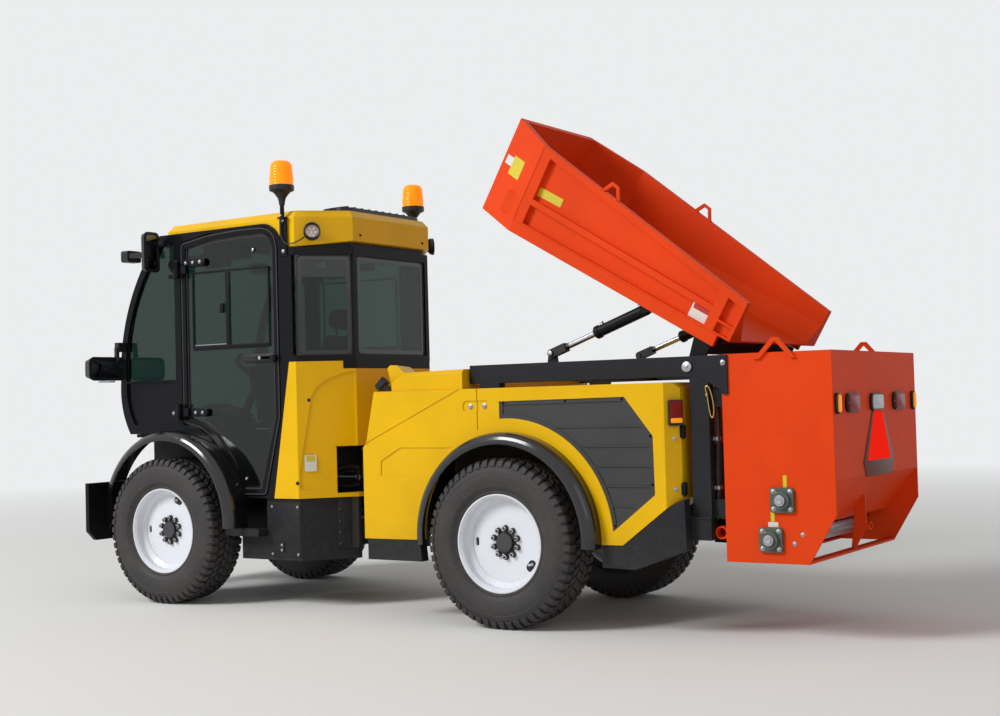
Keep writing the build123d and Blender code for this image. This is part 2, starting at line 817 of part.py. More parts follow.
# Black fittings on the roof: the ribbed vent at the back, a work lamp on each cut corner and two front lamps
vent_x = at_front(cab_rear) + 150
corner_front = (at_front(cab_facet_start), roof_half_width + 30)
corner_rear = (at_front(cab_rear) - 6, cab_rear_half_width + 10)
corner_run = corner_rear[0] - corner_front[0]
corner_turn = corner_rear[1] - corner_front[1]
corner_length = hypot(corner_run, corner_turn)
lamp_share = 0.286
lamp_standoff = 60.0
work_lamp_height = 2223.0
work_lamp_radius = 48.0
with BuildPart() as roof_fittings:
    with BuildSketch(Plane.XY.offset(roof_top + seat_gap)):
        with Locations((vent_x, 0)):
            RectangleRounded(230, 780, 80)
    extrude(amount=26, taper=20)
    with BuildSketch(Plane.XY.offset(roof_top + 20)):
        with Locations((vent_x, 0)):
            with GridLocations(0, 70, 1, 10):
                SlotOverall(150, 24)
    extrude(amount=18, taper=8)
    for side in (1, -1):
        outward = (corner_turn / corner_length, -side * corner_run / corner_length, 0)
        foot_x = corner_front[0] + lamp_share * corner_run
        foot_y = side * (corner_front[1] + lamp_share * corner_turn)
        look = Plane(
            origin=(foot_x + outward[0] * lamp_standoff, foot_y + outward[1] * lamp_standoff, work_lamp_height),
            z_dir=outward,
        )
        with BuildSketch(look.offset(seat_gap - lamp_standoff)):
            Circle(14)
        extrude(amount=lamp_standoff - 20)
        with BuildSketch(look.offset(-34)):
            Circle(work_lamp_radius - 18)
        with BuildSketch(look.offset(-18)):
            Circle(work_lamp_radius)
        loft()
        with BuildSketch(look.offset(-18)):
            Circle(work_lamp_radius)
        extrude(amount=26)
        with BuildSketch(look):
            Circle(work_lamp_radius - 6)
        extrude(amount=10, mode=Mode.SUBTRACT)
        with BuildSketch(Plane.XZ.offset(-side * (cab_half_width + seat_gap))):
            with BuildLine():
                Polyline(
                    (at_front(100), 2200),
                    (at_front(430), 2200),
                    (at_front(430), 2172),
                    (at_front(190), 2160),
                    (at_front(100), 2150),
                    close=True,
                )
            make_face()
        extrude(amount=-side * 8)
        with BuildSketch(Plane.YZ.offset(at_front(372))):
            with Locations((side * 600, 2183)):
                RectangleRounded(116, 74, 14)
        extrude(amount=60)
finish(roof_fittings.part, "roof_fittings")

# Doors: ring, handle, hinge knuckles, and the glass as its own piece
door_border = 36.0
for name, side in [("left", 1), ("right", -1)]:
    with BuildPart() as door:
        face = Plane.XZ.offset(-side * cab_half_width)
        with BuildSketch(face) as blank:
            with BuildLine():
                FilletPolyline(*door_points(0), radius=door_radii(0), close=True)
            make_face()
            with BuildLine():
                FilletPolyline(*door_points(-door_border), radius=door_radii(-door_border), close=True)
            make_face(mode=Mode.SUBTRACT)
        extrude(amount=side * 38)
        for level in hinge_heights:
            with BuildSketch(Plane.XY.offset(level - knuckle_height / 2)):
                with Locations((hinge_x, side * hinge_y)):
                    Circle(hinge_pin)
                with Locations((hinge_x - 35, side * (cab_half_width + 12))):
                    Rectangle(70, 26)
            extrude(amount=knuckle_height)
            with BuildSketch(Plane.XY.offset(level - knuckle_height / 2)):
                with Locations((hinge_x, side * hinge_y)):
                    Circle(hinge_pin / 2 + pivot_pin_clearance)
            extrude(amount=knuckle_height, mode=Mode.SUBTRACT)
        with BuildSketch(face):
            with Locations((at_front(-800), 1486)):
                RectangleRounded(150, 34, 12)
        extrude(amount=-side * 30)
    finish(door.part, f"door_{name}")
    with BuildPart() as door_glass:
        with BuildSketch(Plane.XZ.offset(-side * (cab_half_width - 16))):
            glass_edge = -door_border - seat_gap
            with BuildLine():
                FilletPolyline(*door_points(glass_edge), radius=door_radii(glass_edge), close=True)
            make_face()
        extrude(amount=side * glass_thickness)
    finish(door_glass.part, f"door_glass_{name}")


# Mudguards: a skin over the tyre with a rounded shoulder and a turned-down outer lip
def arch_ring(centre, start, arc, points):
    turn = radians(start)
    section = Plane(
        origin=(centre[0], 0, centre[1]),
        x_dir=(cos(turn), 0, sin(turn)),
        z_dir=(-sin(turn), 0, cos(turn)),
    )
    with BuildSketch(section) as profile:
        with BuildLine():
            Polyline(*points, close=True)
        make_face()
    revolve(profile.sketch, axis=Axis((centre[0], 0, centre[1]), (0, -1, 0)), revolution_arc=arc)


def guard_profile(side, inside, outer):
    shoulder_points = [
        # share of the shoulder inwards from the outside, share of it down from the top
        (1.0, 0.0),
        (0.72, 0.06),
        (0.42, 0.22),
        (0.2, 0.46),
        (0.06, 0.74),
        (0.0, 1.0),
    ]
    above = [
        (outer - down * guard_shoulder, side * (guard_outside - in_share * guard_shoulder))
        for in_share, down in shoulder_points
    ]
    inner_shoulder = guard_shoulder - guard_skin
    below = [
        (outer - guard_skin - down * inner_shoulder, side * (guard_outside - guard_skin - in_share * inner_shoulder))
        for in_share, down in reversed(shoulder_points)
    ]
    return (
        [(outer - guard_skin, side * inside), (outer, side * inside)]
        + above
        + [(outer - guard_lip, side * guard_outside), (outer - guard_lip, side * (guard_outside - guard_skin))]
        + below
    )


front_arch = (at_front(front_arch_centre[0]), front_arch_centre[1])
rear_arch = (at_rear(arch_centre[0]), arch_centre[1])
guard_start = 26.0
guard_arc = 157.0
seam_radius = 170.0
seam_half_gap = 3.0
guard_door_gap = 6.0


# The front mudguards part on a circle round the door hinge, and the rear piece swings with the door
def hinge_disc(side, radius):
    with BuildSketch(Plane.XY.offset(arch_low)) as disc:
        with Locations((hinge_x, side * hinge_y)):
            Circle(radius)
    return disc.sketch


def behind_hinge(side):
    with BuildSketch(Plane.XY.offset(arch_low)) as block:
        with Locations((hinge_x - 450, side * (guard_outside - 100))):
            Rectangle(900, 400)
    return block.sketch


arch_low = front_arch_centre[1] - 100
arch_rise = front_arch_outer_radius + 200
with BuildPart() as front_mudguards:
    for side in (1, -1):
        arch_ring(
            front_arch, guard_start, guard_arc,
            guard_profile(side, cab_half_width + seat_gap, front_arch_outer_radius),
        )
        with BuildPart(mode=Mode.PRIVATE) as swing_space:
            extrude(behind_hinge(side), amount=arch_rise)
            extrude(hinge_disc(side, seam_radius - seam_half_gap), amount=arch_rise, mode=Mode.SUBTRACT)
        add(swing_space.part, mode=Mode.SUBTRACT)
finish(front_mudguards.part, "front_mudguards")

for name, side in [("left", 1), ("right", -1)]:
    with BuildPart() as door_mudguard:
        arch_ring(
            front_arch, guard_start, guard_arc,
            guard_profile(side, cab_half_width + guard_door_gap, front_arch_outer_radius),
        )
        with BuildPart(mode=Mode.PRIVATE) as fixed_space:
            with BuildSketch(Plane.XY.offset(arch_low)):
                with Locations((hinge_x + 450, side * (guard_outside - 100))):
                    Rectangle(900, 400)
            extrude(amount=arch_rise)
            extrude(hinge_disc(side, seam_radius + seam_half_gap), amount=arch_rise)
        add(fixed_space.part, mode=Mode.SUBTRACT)
        arch_ring(
            front_arch, 141, 19,
            [
                (front_arch_outer_radius - 20, side * (cab_half_width + seat_gap)),
                (front_arch_outer_radius, side * (cab_half_width + seat_gap)),
                (front_arch_outer_radius, side * (cab_half_width + guard_door_gap + 4)),
                (front_arch_outer_radius - 20, side * (cab_half_width + guard_door_gap + 4)),
            ],
        )
    finish(door_mudguard.part, f"door_mudguard_{name}")

with BuildPart() as rear_mudguards:
    for side in (1, -1):
        arch_ring(
            rear_arch, -5, 189,
            guard_profile(side, cover_half_width + seat_gap, arch_outer_radius),
        )
finish(rear_mudguards.part, "rear_mudguards")

# Black boxes and steps under the cab
with BuildPart() as cab_valances:
    with BuildSketch(Plane.XY.offset(285)):
        with BuildLine():
            Polyline(*cab_plan(20, -540), close=True)
        make_face()
        with Locations((at_front(-900), 0)):
            Rectangle(800, 2 * 330, mode=Mode.SUBTRACT)
    extrude(amount=floor_level - seat_gap - 285)
    with BuildSketch(Plane.XZ):
        with Locations((at_front(-640), 560)):
            Rectangle(210, 226)
    extrude(amount=700, both=True, mode=Mode.SUBTRACT)
    with BuildSketch(Plane.XY.offset(447 - 20)):
        for side in (1, -1):
            with Locations((at_front(-610), side * 655)):
                Rectangle(270, 90)
    extrude(amount=40)
finish(cab_valances.part, "cab_valances")

# Inside the cab: seat base, seat, and the dash with the steering wheel
seat_x = at_front(-600)
floor_top = floor_level + floor_plate
with BuildPart() as seat_base:
    with BuildSketch(Plane.XY.offset(floor_top + seat_gap)):
        with Locations((seat_x, 0)):
            Rectangle(460, 440)
    extrude(amount=320, taper=4)
finish(seat_base.part, "seat_base")

with BuildPart() as driver_seat:
    with BuildSketch(Plane.XY.offset(floor_top + 321)):
        with Locations((seat_x + 10, 0)):
            RectangleRounded(500, 500, 60)
    extrude(amount=120)
    with BuildSketch(Plane.XZ):
        with BuildLine():
            Polyline(
                (seat_x - 230, floor_top + 460),
                (seat_x - 130, floor_top + 460),
                (seat_x - 210, floor_top + 1060),
                (seat_x - 290, floor_top + 1060),
                close=True,
            )
        make_face()
    extrude(amount=230, both=True)
    with BuildSketch(Plane.XZ):
        with Locations((seat_x - 195, floor_top + 450)):
            Rectangle(60, 40)
    extrude(amount=120, both=True)
finish(driver_seat.part, "driver_seat")

wheel_centre = (at_front(-170), 0, 1440)
with BuildPart() as steering_column:
    with BuildSketch(Plane.XY.offset(floor_top + seat_gap)):
        with Locations((at_front(250), 0)):
            Rectangle(160, 560)
    extrude(amount=420)
    column = Plane(origin=wheel_centre, z_dir=(-0.6, 0, 1))
    with BuildSketch(column):
        Circle(26)
    extrude(amount=-620)
    with BuildSketch(column.offset(-10)):
        Circle(190)
        Circle(166, mode=Mode.SUBTRACT)
        Circle(45)
        with PolarLocations(110, 3, start_angle=90):
            Rectangle(130, 26)
    extrude(amount=24)
    with BuildSketch(Plane.XZ):
        with BuildLine():
            Polyline(
                (at_front(100), 1000),
                (at_front(175), 1000),
                (at_front(175), 1200),
                (at_front(40), 1150),
                close=True,
            )
        make_face()
    extrude(amount=120, both=True)
finish(steering_column.part, "steering_column")

# Mirrors on arms from the front posts
with BuildPart() as mirrors:
    for side in (1, -1):
        with BuildSketch(Plane.YZ.offset(at_front(425))):
            with Locations((side * 790, 1462)):
                RectangleRounded(300, 150, 40)
        extrude(amount=60, taper=18)
        with BuildSketch(Plane.XZ.offset(-side * (cab_half_width + seat_gap))):
            with Locations((at_front(440), 1600)):
                Rectangle(36, 60)
        extrude(amount=-side * 60)
        with BuildSketch(Plane.XY.offset(1600)):
            with Locations((at_front(440), side * 700)):
                Rectangle(22, 22)
        extrude(amount=-80)
        with BuildSketch(Plane.XZ.offset(-side * (cab_half_width + seat_gap))):
            with Locations((at_front(52), 2236)):
                Rectangle(44, 40)
        extrude(amount=-side * 50)
        with BuildSketch(Plane.YZ.offset(at_front(62))):
            with Locations((side * 740, 2178)):
                RectangleRounded(130, 252, 34)
        extrude(amount=34, taper=16)
finish(mirrors.part, "mirrors")

# Beacons: a flared base and a domed lens on each post
beacon_x = at_front(-941)
beacon_y = 650.0
beacon_base = 2425.0
beacon_outline = [
    # height above the post, radius
    (0, 0),
    (0, 20),
    (12, 26),
    (40, 50),
    (60, 62),
    (73, 66),
    (73, 72.5),
    (84, 72.5),
    (150, 68),
    (178, 60),
    (196, 45),
    (205, 24),
    (208, 0),
]
with BuildPart() as beacons:
    for side in (1, -1):
        with BuildSketch(Plane(origin=(beacon_x, side * beacon_y, beacon_base), x_dir=(1, 0, 0), z_dir=(0, -1, 0))) as lens:
            with BuildLine():
                Polyline(*[(radius, up) for up, radius in beacon_outline], close=True)
            make_face()
        revolve(lens.sketch, axis=Axis((beacon_x, side * beacon_y, beacon_base), (0, 0, 1)))
finish(beacons.part, "beacons")

# Engine as one plain block on the rear frame
with BuildPart() as engine:
    with BuildSketch(Plane.XY.offset(frame_top + seat_gap)):
        with Locations((at_rear(230), 0)):
            Rectangle(900, 560)
    extrude(amount=500)
finish(engine.part, "engine")

# Engine cover: outer skin with wheel arches, hollow below
def cover_points(inset):
    lift = -60 if inset else 0
    front = cover_front - inset
    back = cover_rear + inset
    return [
        (at_rear(front), 442 + lift),
        (at_rear(front), 952 - 0.2 * inset),
        (at_rear(912 - inset), 972 - 0.2 * inset),
        (at_rear(848 - inset), cover_top - inset),
        (at_rear(back), cover_top - inset),
        (at_rear(back - 30 + 0.4 * inset), cover_top - 30 - 0.4 * inset),
        (at_rear(back - 30), 690 + 0.4 * inset),
        (at_rear(-964 + inset), 650 + 0.4 * inset),
        (at_rear(-705), 455 + lift),
    ]


arch_x = at_rear(arch_centre[0])
arch_z = arch_centre[1]
arch_cut = arch_outer_radius - guard_seat
grille_outline = [
    (12, 1100),
    (12, 1190),
    (-735, 1197),
    (-890, 1000),
    (-894, 709),
    (-655, 523),
    (-590, 528),
]
cover_recess = [(808, 876), (811, 797), (468, 797), (330, 947), (673, 949)]
cover_crease = [(905, 966), (268, 1248), (268, 1262), (905, 980)]
latch_pocket = (159.0, 1168.0)
panel_split = 152.0


def corner_wedge(side, inset):
    # the space that the chamfered rear corner leaves free, moved in by the wall for the hollow
    back, across = 0.734 * inset, 0.68 * inset
    start = (corner_chamfer_back + 14, cover_half_width + 15)
    stop = (corner_chamfer_back - 77, cover_half_width - 83)
    return [
        (at_rear(start[0] + back), side * (start[1] - across)),
        (at_rear(stop[0] + back), side * (stop[1] - across)),
        (at_rear(cover_rear - 90), side * (stop[1] - across)),
        (at_rear(cover_rear - 90), side * (cover_half_width + 40)),
        (at_rear(start[0] + back), side * (cover_half_width + 40)),
    ]


with BuildPart() as engine_cover:
    with BuildSketch(Plane.XZ):
        with BuildLine():
            Polyline(*cover_points(0), close=True)
        make_face()
        with Locations((arch_x, arch_z)):
            Circle(arch_cut, mode=Mode.SUBTRACT)
        with Locations((arch_x, 440)):
            Rectangle(2 * arch_cut, 70, mode=Mode.SUBTRACT)
    extrude(amount=cover_half_width, both=True)
    for side in (1, -1):
        with BuildSketch(Plane.XY.offset(400)):
            with BuildLine():
                Polyline(*corner_wedge(side, 0), close=True)
            make_face()
        extrude(amount=cover_top, mode=Mode.SUBTRACT)
    with BuildPart(mode=Mode.PRIVATE) as hollow:
        with BuildSketch(Plane.XZ):
            with BuildLine():
                Polyline(*cover_points(cover_wall), close=True)
            make_face()
        extrude(amount=cover_half_width - cover_wall, both=True)
        for side in (1, -1):
            with BuildSketch(Plane.XY.offset(300)):
                with BuildLine():
                    Polyline(*corner_wedge(side, cover_wall), close=True)
                make_face()
            extrude(amount=cover_top, mode=Mode.SUBTRACT)
    add(hollow.part, mode=Mode.SUBTRACT)
    with BuildSketch(Plane.YZ.offset(at_rear(cover_front - 60))):
        with Locations((0, 400 + 170)):
            Rectangle(2 * 430, 540)
    extrude(amount=100, mode=Mode.SUBTRACT)
    with BuildSketch(Plane.YZ.offset(at_rear(cover_rear - 100))):
        with Locations((0, 400 + 240)):
            Rectangle(2 * 430, 600)
    extrude(amount=300, mode=Mode.SUBTRACT)
    with BuildSketch(Plane.XZ):
        with BuildLine():
            Polyline(*[(at_rear(x), z) for x, z in grille_outline], close=True)
        make_face()
        with Locations((arch_x, arch_z)):
            Circle(arch_outer_radius + 70, mode=Mode.SUBTRACT)
    extrude(amount=cover_half_width + 5, both=True, mode=Mode.SUBTRACT)
    for side in (1, -1):
        side_face = Plane.XZ.offset(-side * cover_half_width)
        with BuildSketch(side_face):
            with BuildLine():
                Polyline(*[(at_rear(x), z) for x, z in cover_recess], close=True)
            make_face()
            with Locations((at_rear(latch_pocket[0]), latch_pocket[1])):
                SlotOverall(172, 58)
        extrude(amount=side * 5, mode=Mode.SUBTRACT)
        with BuildSketch(side_face):
            with BuildLine():
                Polyline(*[(at_rear(x), z) for x, z in cover_crease], close=True)
            make_face()
        extrude(amount=side * 4, mode=Mode.SUBTRACT)
        with BuildSketch(side_face):
            with Locations((at_rear(panel_split), 1153)):
                Rectangle(5, 226)
        extrude(amount=side * 9, mode=Mode.SUBTRACT)
finish(engine_cover.part, "engine_cover")

# Grille panels in the sides of the cover: a raised border round a sunk field with level slats
grille_border = 20.0
grille_slats = (650.0, 750.0, 850.0, 950.0, 1050.0)
slat_height = 8.0
with BuildPart() as side_grilles:
    for side in (1, -1):
        base = Plane.XZ.offset(-side * (cover_half_width - 4))
        with BuildSketch(base) as panel:
            with BuildLine():
                Polyline(*[(at_rear(x), z) for x, z in grille_outline], close=True)
            make_face()
            with Locations((arch_x, arch_z)):
                Circle(arch_outer_radius + 70, mode=Mode.SUBTRACT)
            offset(amount=-seat_gap, mode=Mode.REPLACE)
        extrude(panel.sketch, amount=side * 12)
        with BuildSketch(base) as field:
            add(panel.sketch)
            offset(amount=-grille_border, mode=Mode.REPLACE)
            with Locations(*[(arch_x, z) for z in grille_slats]):
                Rectangle(2400, slat_height, mode=Mode.SUBTRACT)
        extrude(field.sketch, amount=side * 5, mode=Mode.SUBTRACT)
finish(side_grilles.part, "side_grilles")

# Raised deck cover in front of the rails, and the filler cap
with BuildPart() as deck_cover:
    with BuildSketch(Plane.XZ):
        with BuildLine():
            Polyline(
                (at_rear(738), cover_top + seat_gap),
                (at_rear(735), 1322),
                (at_rear(674), 1362),
                (at_rear(258), 1370),
                (at_rear(258), cover_top + seat_gap),
                close=True,
            )
        make_face()
    extrude(amount=cover_half_width - 20, both=True)
    deck_edges = deck_cover.edges().filter_by(
        lambda edge: abs(edge.center().Y) > cover_half_width - 21 and edge.center().Z > 1325
    )
    chamfer(deck_edges, 18)
    for side in (1, -1):
        with BuildSketch(Plane.XZ.offset(-side * 545)):
            with BuildLine():
                Polyline(
                    (at_rear(700), cover_top + seat_gap),
                    (at_rear(832), cover_top + seat_gap),
                    (at_rear(868), 1396),
                    (at_rear(846), 1412),
                    (at_rear(800), 1410),
                    (at_rear(730), 1352),
                    close=True,
                )
            make_face()
        extrude(amount=side * 130, taper=4)
finish(deck_cover.part, "deck_cover")

filler_radius = 40.0
with BuildPart() as filler_cap:
    neck = Plane(origin=(at_rear(796), 604, cover_top - 20), z_dir=(0.66, 0.16, 0.73))
    with BuildSketch(neck):
        Circle(filler_radius - 12)
    extrude(amount=75)
    with BuildSketch(neck.offset(66)):
        Circle(filler_radius)
    extrude(amount=34)
    with BuildSketch(neck.offset(100)):
        Rectangle(2 * filler_radius - 10, 16)
    extrude(amount=12)
    with BuildSketch(Plane.XY.offset(cover_top - 90)):
        with Locations((at_rear(796), 604)):
            Rectangle(300, 150)
    extrude(amount=90 + seat_gap, mode=Mode.SUBTRACT)
finish(filler_cap.part, "filler_cap")

# Black skirts under the cover
with BuildPart() as rear_valances:
    for side in (1, -1):
        side_plane = Plane.XZ.offset(-side * (cover_half_width - 4))
        for points in [
            [(916, 326), (916, 441.7), (555, 441.7), (543, 326)],
            [(-585, 340), (-585, 445), (-705, 454.5), (-968, 648), (-1050, 690), (-1056, 441), (-767, 335)],
        ]:
            with BuildSketch(side_plane):
                with BuildLine():
                    Polyline(*[(at_rear(x), z) for x, z in points], close=True)
                make_face()
            extrude(amount=side * 60)
finish(rear_valances.part, "rear_valances")

# Tail lamps on the chamfered rear corners of the cover
with BuildPart() as tail_lamps:
    for side in (1, -1):
        lamp_middle = (at_rear(corner_chamfer_back - 38), side * (cover_half_width - 41))
        lamp_face = Plane(
            origin=(*lamp_middle, 1112), x_dir=(-side * 0.68, -0.734, 0), z_dir=(-0.734, side * 0.68, 0),
        )
        with BuildSketch(lamp_face.offset(seat_gap)):
            RectangleRounded(72, 128, 8)
        extrude(amount=26)
        with BuildSketch(lamp_face.offset(seat_gap + 26)):
            with Locations((0, 30), (0, -30)):
                RectangleRounded(60, 54, 5)
        extrude(amount=6, taper=10)
finish(tail_lamps.part, "tail_lamps")


# A hydraulic cylinder between two pins: the barrel with its eye, and the rod with its open fork
def cylinder_planes(start, direction, across):
    return Plane(origin=start, x_dir=direction, z_dir=across)


def make_barrel(axes, radius, length, eye_radius, eye_width, pin_radius, bore):
    with BuildPart() as barrel:
        with BuildSketch(Plane(origin=axes.origin + axes.x_dir * 10, z_dir=axes.x_dir)):
            Circle(radius)
        extrude(amount=length - 10)
        with BuildSketch(Plane(origin=axes.origin + axes.x_dir * (length - 26), z_dir=axes.x_dir)):
            Circle(radius + 5)
        extrude(amount=20)
        with BuildSketch(axes.offset(-radius - 10)):
            with Locations((-radius, 0)):
                Rectangle(2 * radius + 60, 4 * radius)
        extrude(amount=2 * radius + 20, mode=Mode.SUBTRACT)
        with BuildSketch(axes.offset(-eye_width / 2)):
            Circle(eye_radius)
            with Locations((eye_radius, 0)):
                Rectangle(2 * eye_radius, 1.6 * eye_radius)
        extrude(amount=eye_width)
        with BuildSketch(axes.offset(-eye_width / 2)):
            Circle(pin_radius + pivot_pin_clearance)
        extrude(amount=eye_width, mode=Mode.SUBTRACT)
        with BuildSketch(Plane(origin=axes.origin + axes.x_dir * 42, z_dir=axes.x_dir)):
            Circle(bore)
        extrude(amount=length, mode=Mode.SUBTRACT)
    return barrel.part


def make_rod(axes, tip, rod_radius, length, lug_width):
    inside = lug_width / 2 + fork_gap
    with BuildPart() as rod:
        with BuildSketch(Plane(origin=axes.origin + axes.x_dir * (tip - length), z_dir=axes.x_dir)):
            Circle(rod_radius)
        extrude(amount=length - fork_depth - 2)
        for base in (-inside - 10, inside):
            with BuildSketch(axes.offset(base)):
                with Locations((tip - (fork_depth + fork_base) / 2, 0)):
                    Rectangle(fork_depth + fork_base, 44)
                with Locations((tip, 0)):
                    Circle(22)
            extrude(amount=10)
        with BuildSketch(axes.offset(-inside - 10)):
            with Locations((tip - fork_depth - fork_base / 2, 0)):
                Rectangle(fork_base, 44)
        extrude(amount=2 * inside + 20)
        for base, rise in ((-inside - 10, -7), (inside + 10, 7)):
            with BuildSketch(axes.offset(base)):
                with Locations((tip, 0)):
                    Circle(15)
            extrude(amount=rise)
    return rod.part


for name, side in [("left", 1), ("right", -1)]:
    dx = ram_front_x - ram_rear_x
    dy = side * (ram_front_y - ram_rear_y)
    reach = hypot(dx, dy)
    axes = cylinder_planes((ram_rear_x, side * ram_rear_y, ram_level), (dx / reach, dy / reach, 0), (0, 0, 1))
    ram_barrel = make_barrel(
        axes, ram_barrel_diameter / 2, ram_barrel_length, 26, frame_top - frame_bottom - 2 * ram_ear - 6,
        ram_pin_diameter / 2, ram_rod_diameter / 2 + 0.4,
    )
    finish(ram_barrel, f"steering_barrel_{name}")
    ram_rod = make_rod(axes, reach, ram_rod_diameter / 2, ram_rod_length, ram_lug)
    finish(ram_rod, f"steering_rod_{name}")

# Tipping frame and hopper, drawn along the raised floor from the tipping pin
pin_x = at_rear(-tip_pin_back)
pin_z = tip_pin_height
tilt_cos = cos(radians(hopper_raised))
tilt_sin = sin(radians(hopper_raised))


def hopper_point(along, y, up):
    return (pin_x + along * tilt_cos - up * tilt_sin, y, pin_z + along * tilt_sin + up * tilt_cos)


def hopper_side(y):
    return Plane(origin=(pin_x, y, pin_z), x_dir=(tilt_cos, 0, tilt_sin), z_dir=(0, -1, 0))


def hopper_level(up):
    return Plane(origin=hopper_point(0, 0, up), x_dir=(tilt_cos, 0, tilt_sin), z_dir=(-tilt_sin, 0, tilt_cos))


def hopper_cross(along):
    return Plane(origin=hopper_point(along, 0, 0), x_dir=(0, 1, 0), z_dir=(tilt_cos, 0, tilt_sin))


def rim_up(along):
    share = (along - hopper_tail) / (hopper_length - hopper_tail)
    return rim_height_rear + share * (rim_height_front - rim_height_rear)


def hopper_plan(inset, tail):
    return [
        (tail, hopper_half_width - inset),
        (1302 - 0.25 * inset, hopper_half_width - inset),
        (hopper_length - inset, hopper_half_width - 181 - 0.55 * inset),
        (hopper_length - inset, -hopper_half_width + 181 + 0.55 * inset),
        (1302 - 0.25 * inset, -hopper_half_width + inset),
        (tail, -hopper_half_width + inset),
    ]


rim_wide = 40.0
ledge_front = 352.0
ledge_rear = 322.0
ledge_depth = 34.0
lower_edge = 212.0
with BuildPart() as hopper:
    with BuildSketch(hopper_level(hopper_floor)):
        with BuildLine():
            Polyline(*hopper_plan(0, hopper_tail), close=True)
        make_face()
    extrude(amount=rim_height_front + 30 - hopper_floor)
    with BuildSketch(hopper_level(140)):
        with BuildLine():
            Polyline(*hopper_plan(0, -50), close=True)
        make_face()
        with BuildLine():
            Polyline(*hopper_plan(25, -60), close=True)
        make_face(mode=Mode.SUBTRACT)
    extrude(amount=hopper_floor - 140)
    with BuildSketch(hopper_side(0)):
        with BuildLine():
            Polyline(
                (hopper_tail - 40, rim_up(hopper_tail - 40)),
                (hopper_length + 40, rim_up(hopper_length + 40)),
                (hopper_length + 40, 900),
                (hopper_tail - 40, 900),
                close=True,
            )
        make_face()
    extrude(amount=hopper_half_width + 30, both=True, mode=Mode.SUBTRACT)
    with BuildSketch(hopper_level(hopper_floor + hopper_wall)) as cavity:
        with BuildLine():
            Polyline(*hopper_plan(rim_wide, hopper_tail - 20), close=True)
        make_face()
    extrude(amount=600, mode=Mode.SUBTRACT)
    with BuildPart(mode=Mode.PRIVATE) as slopes:
        for side in (1, -1):
            with BuildSketch(hopper_cross(hopper_tail)):
                with BuildLine():
                    Polyline(
                        (side * (hopper_half_width - rim_wide + 1), hopper_floor + 5),
                        (side * (hopper_half_width - rim_wide + 1), 330),
                        (side * (hopper_half_width - rim_wide - 95), hopper_floor + 5),
                        close=True,
                    )
                make_face()
            extrude(amount=hopper_length - hopper_tail - 200)
    add(slopes.part)
    for side in (1, -1):
        with BuildSketch(hopper_side(side * (hopper_half_width - rim_wide + hopper_wall))):
            with BuildLine():
                Polyline(
                    (40, ledge_rear),
                    (1240, ledge_front),
                    (1240, rim_up(1240) - rim_wide),
                    (40, rim_up(40) - rim_wide),
                    close=True,
                )
            make_face()
            with BuildLine():
                Polyline(
                    (40, lower_edge),
                    (1240, lower_edge),
                    (1240, ledge_front - ledge_depth),
                    (40, ledge_rear - ledge_depth),
                    close=True,
                )
            make_face()
            with BuildLine():
                Polyline(
                    (hopper_tail + 16, lower_edge),
                    (-16, lower_edge),
                    (-16, rim_up(-16) - rim_wide),
                    (hopper_tail + 16, rim_up(hopper_tail) - rim_wide),
                    close=True,
                )
            make_face()
        extrude(amount=-side * rim_wide, mode=Mode.SUBTRACT)
    for side in (1, -1):
        with BuildSketch(hopper_side(side * (hopper_half_width - rim_wide + hopper_wall))):
            with BuildLine():
                Polyline(
                    (hopper_tail + 16, 262),
                    (-16, 262),
                    (-16, 274),
                    (hopper_tail + 16, 274),
                    close=True,
                )
            make_face()
        extrude(amount=-side * (rim_wide - hopper_wall))
    for side in (1, -1):
        with BuildSketch(hopper_side(side * (hopper_half_width - 14))):
            with BuildLine():
                Polyline(
                    (760, rim_up(760) - 4),
                    (800, rim_up(800) + 62),
                    (850, rim_up(850) + 62),
                    (890, rim_up(890) - 4),
                    (868, rim_up(868) - 4),
                    (838, rim_up(838) + 46),
                    (812, rim_up(812) + 46),
                    (782, rim_up(782) - 4),
                    close=True,
                )
            make_face()
        extrude(amount=side * 12)
finish(hopper.part, "hopper")

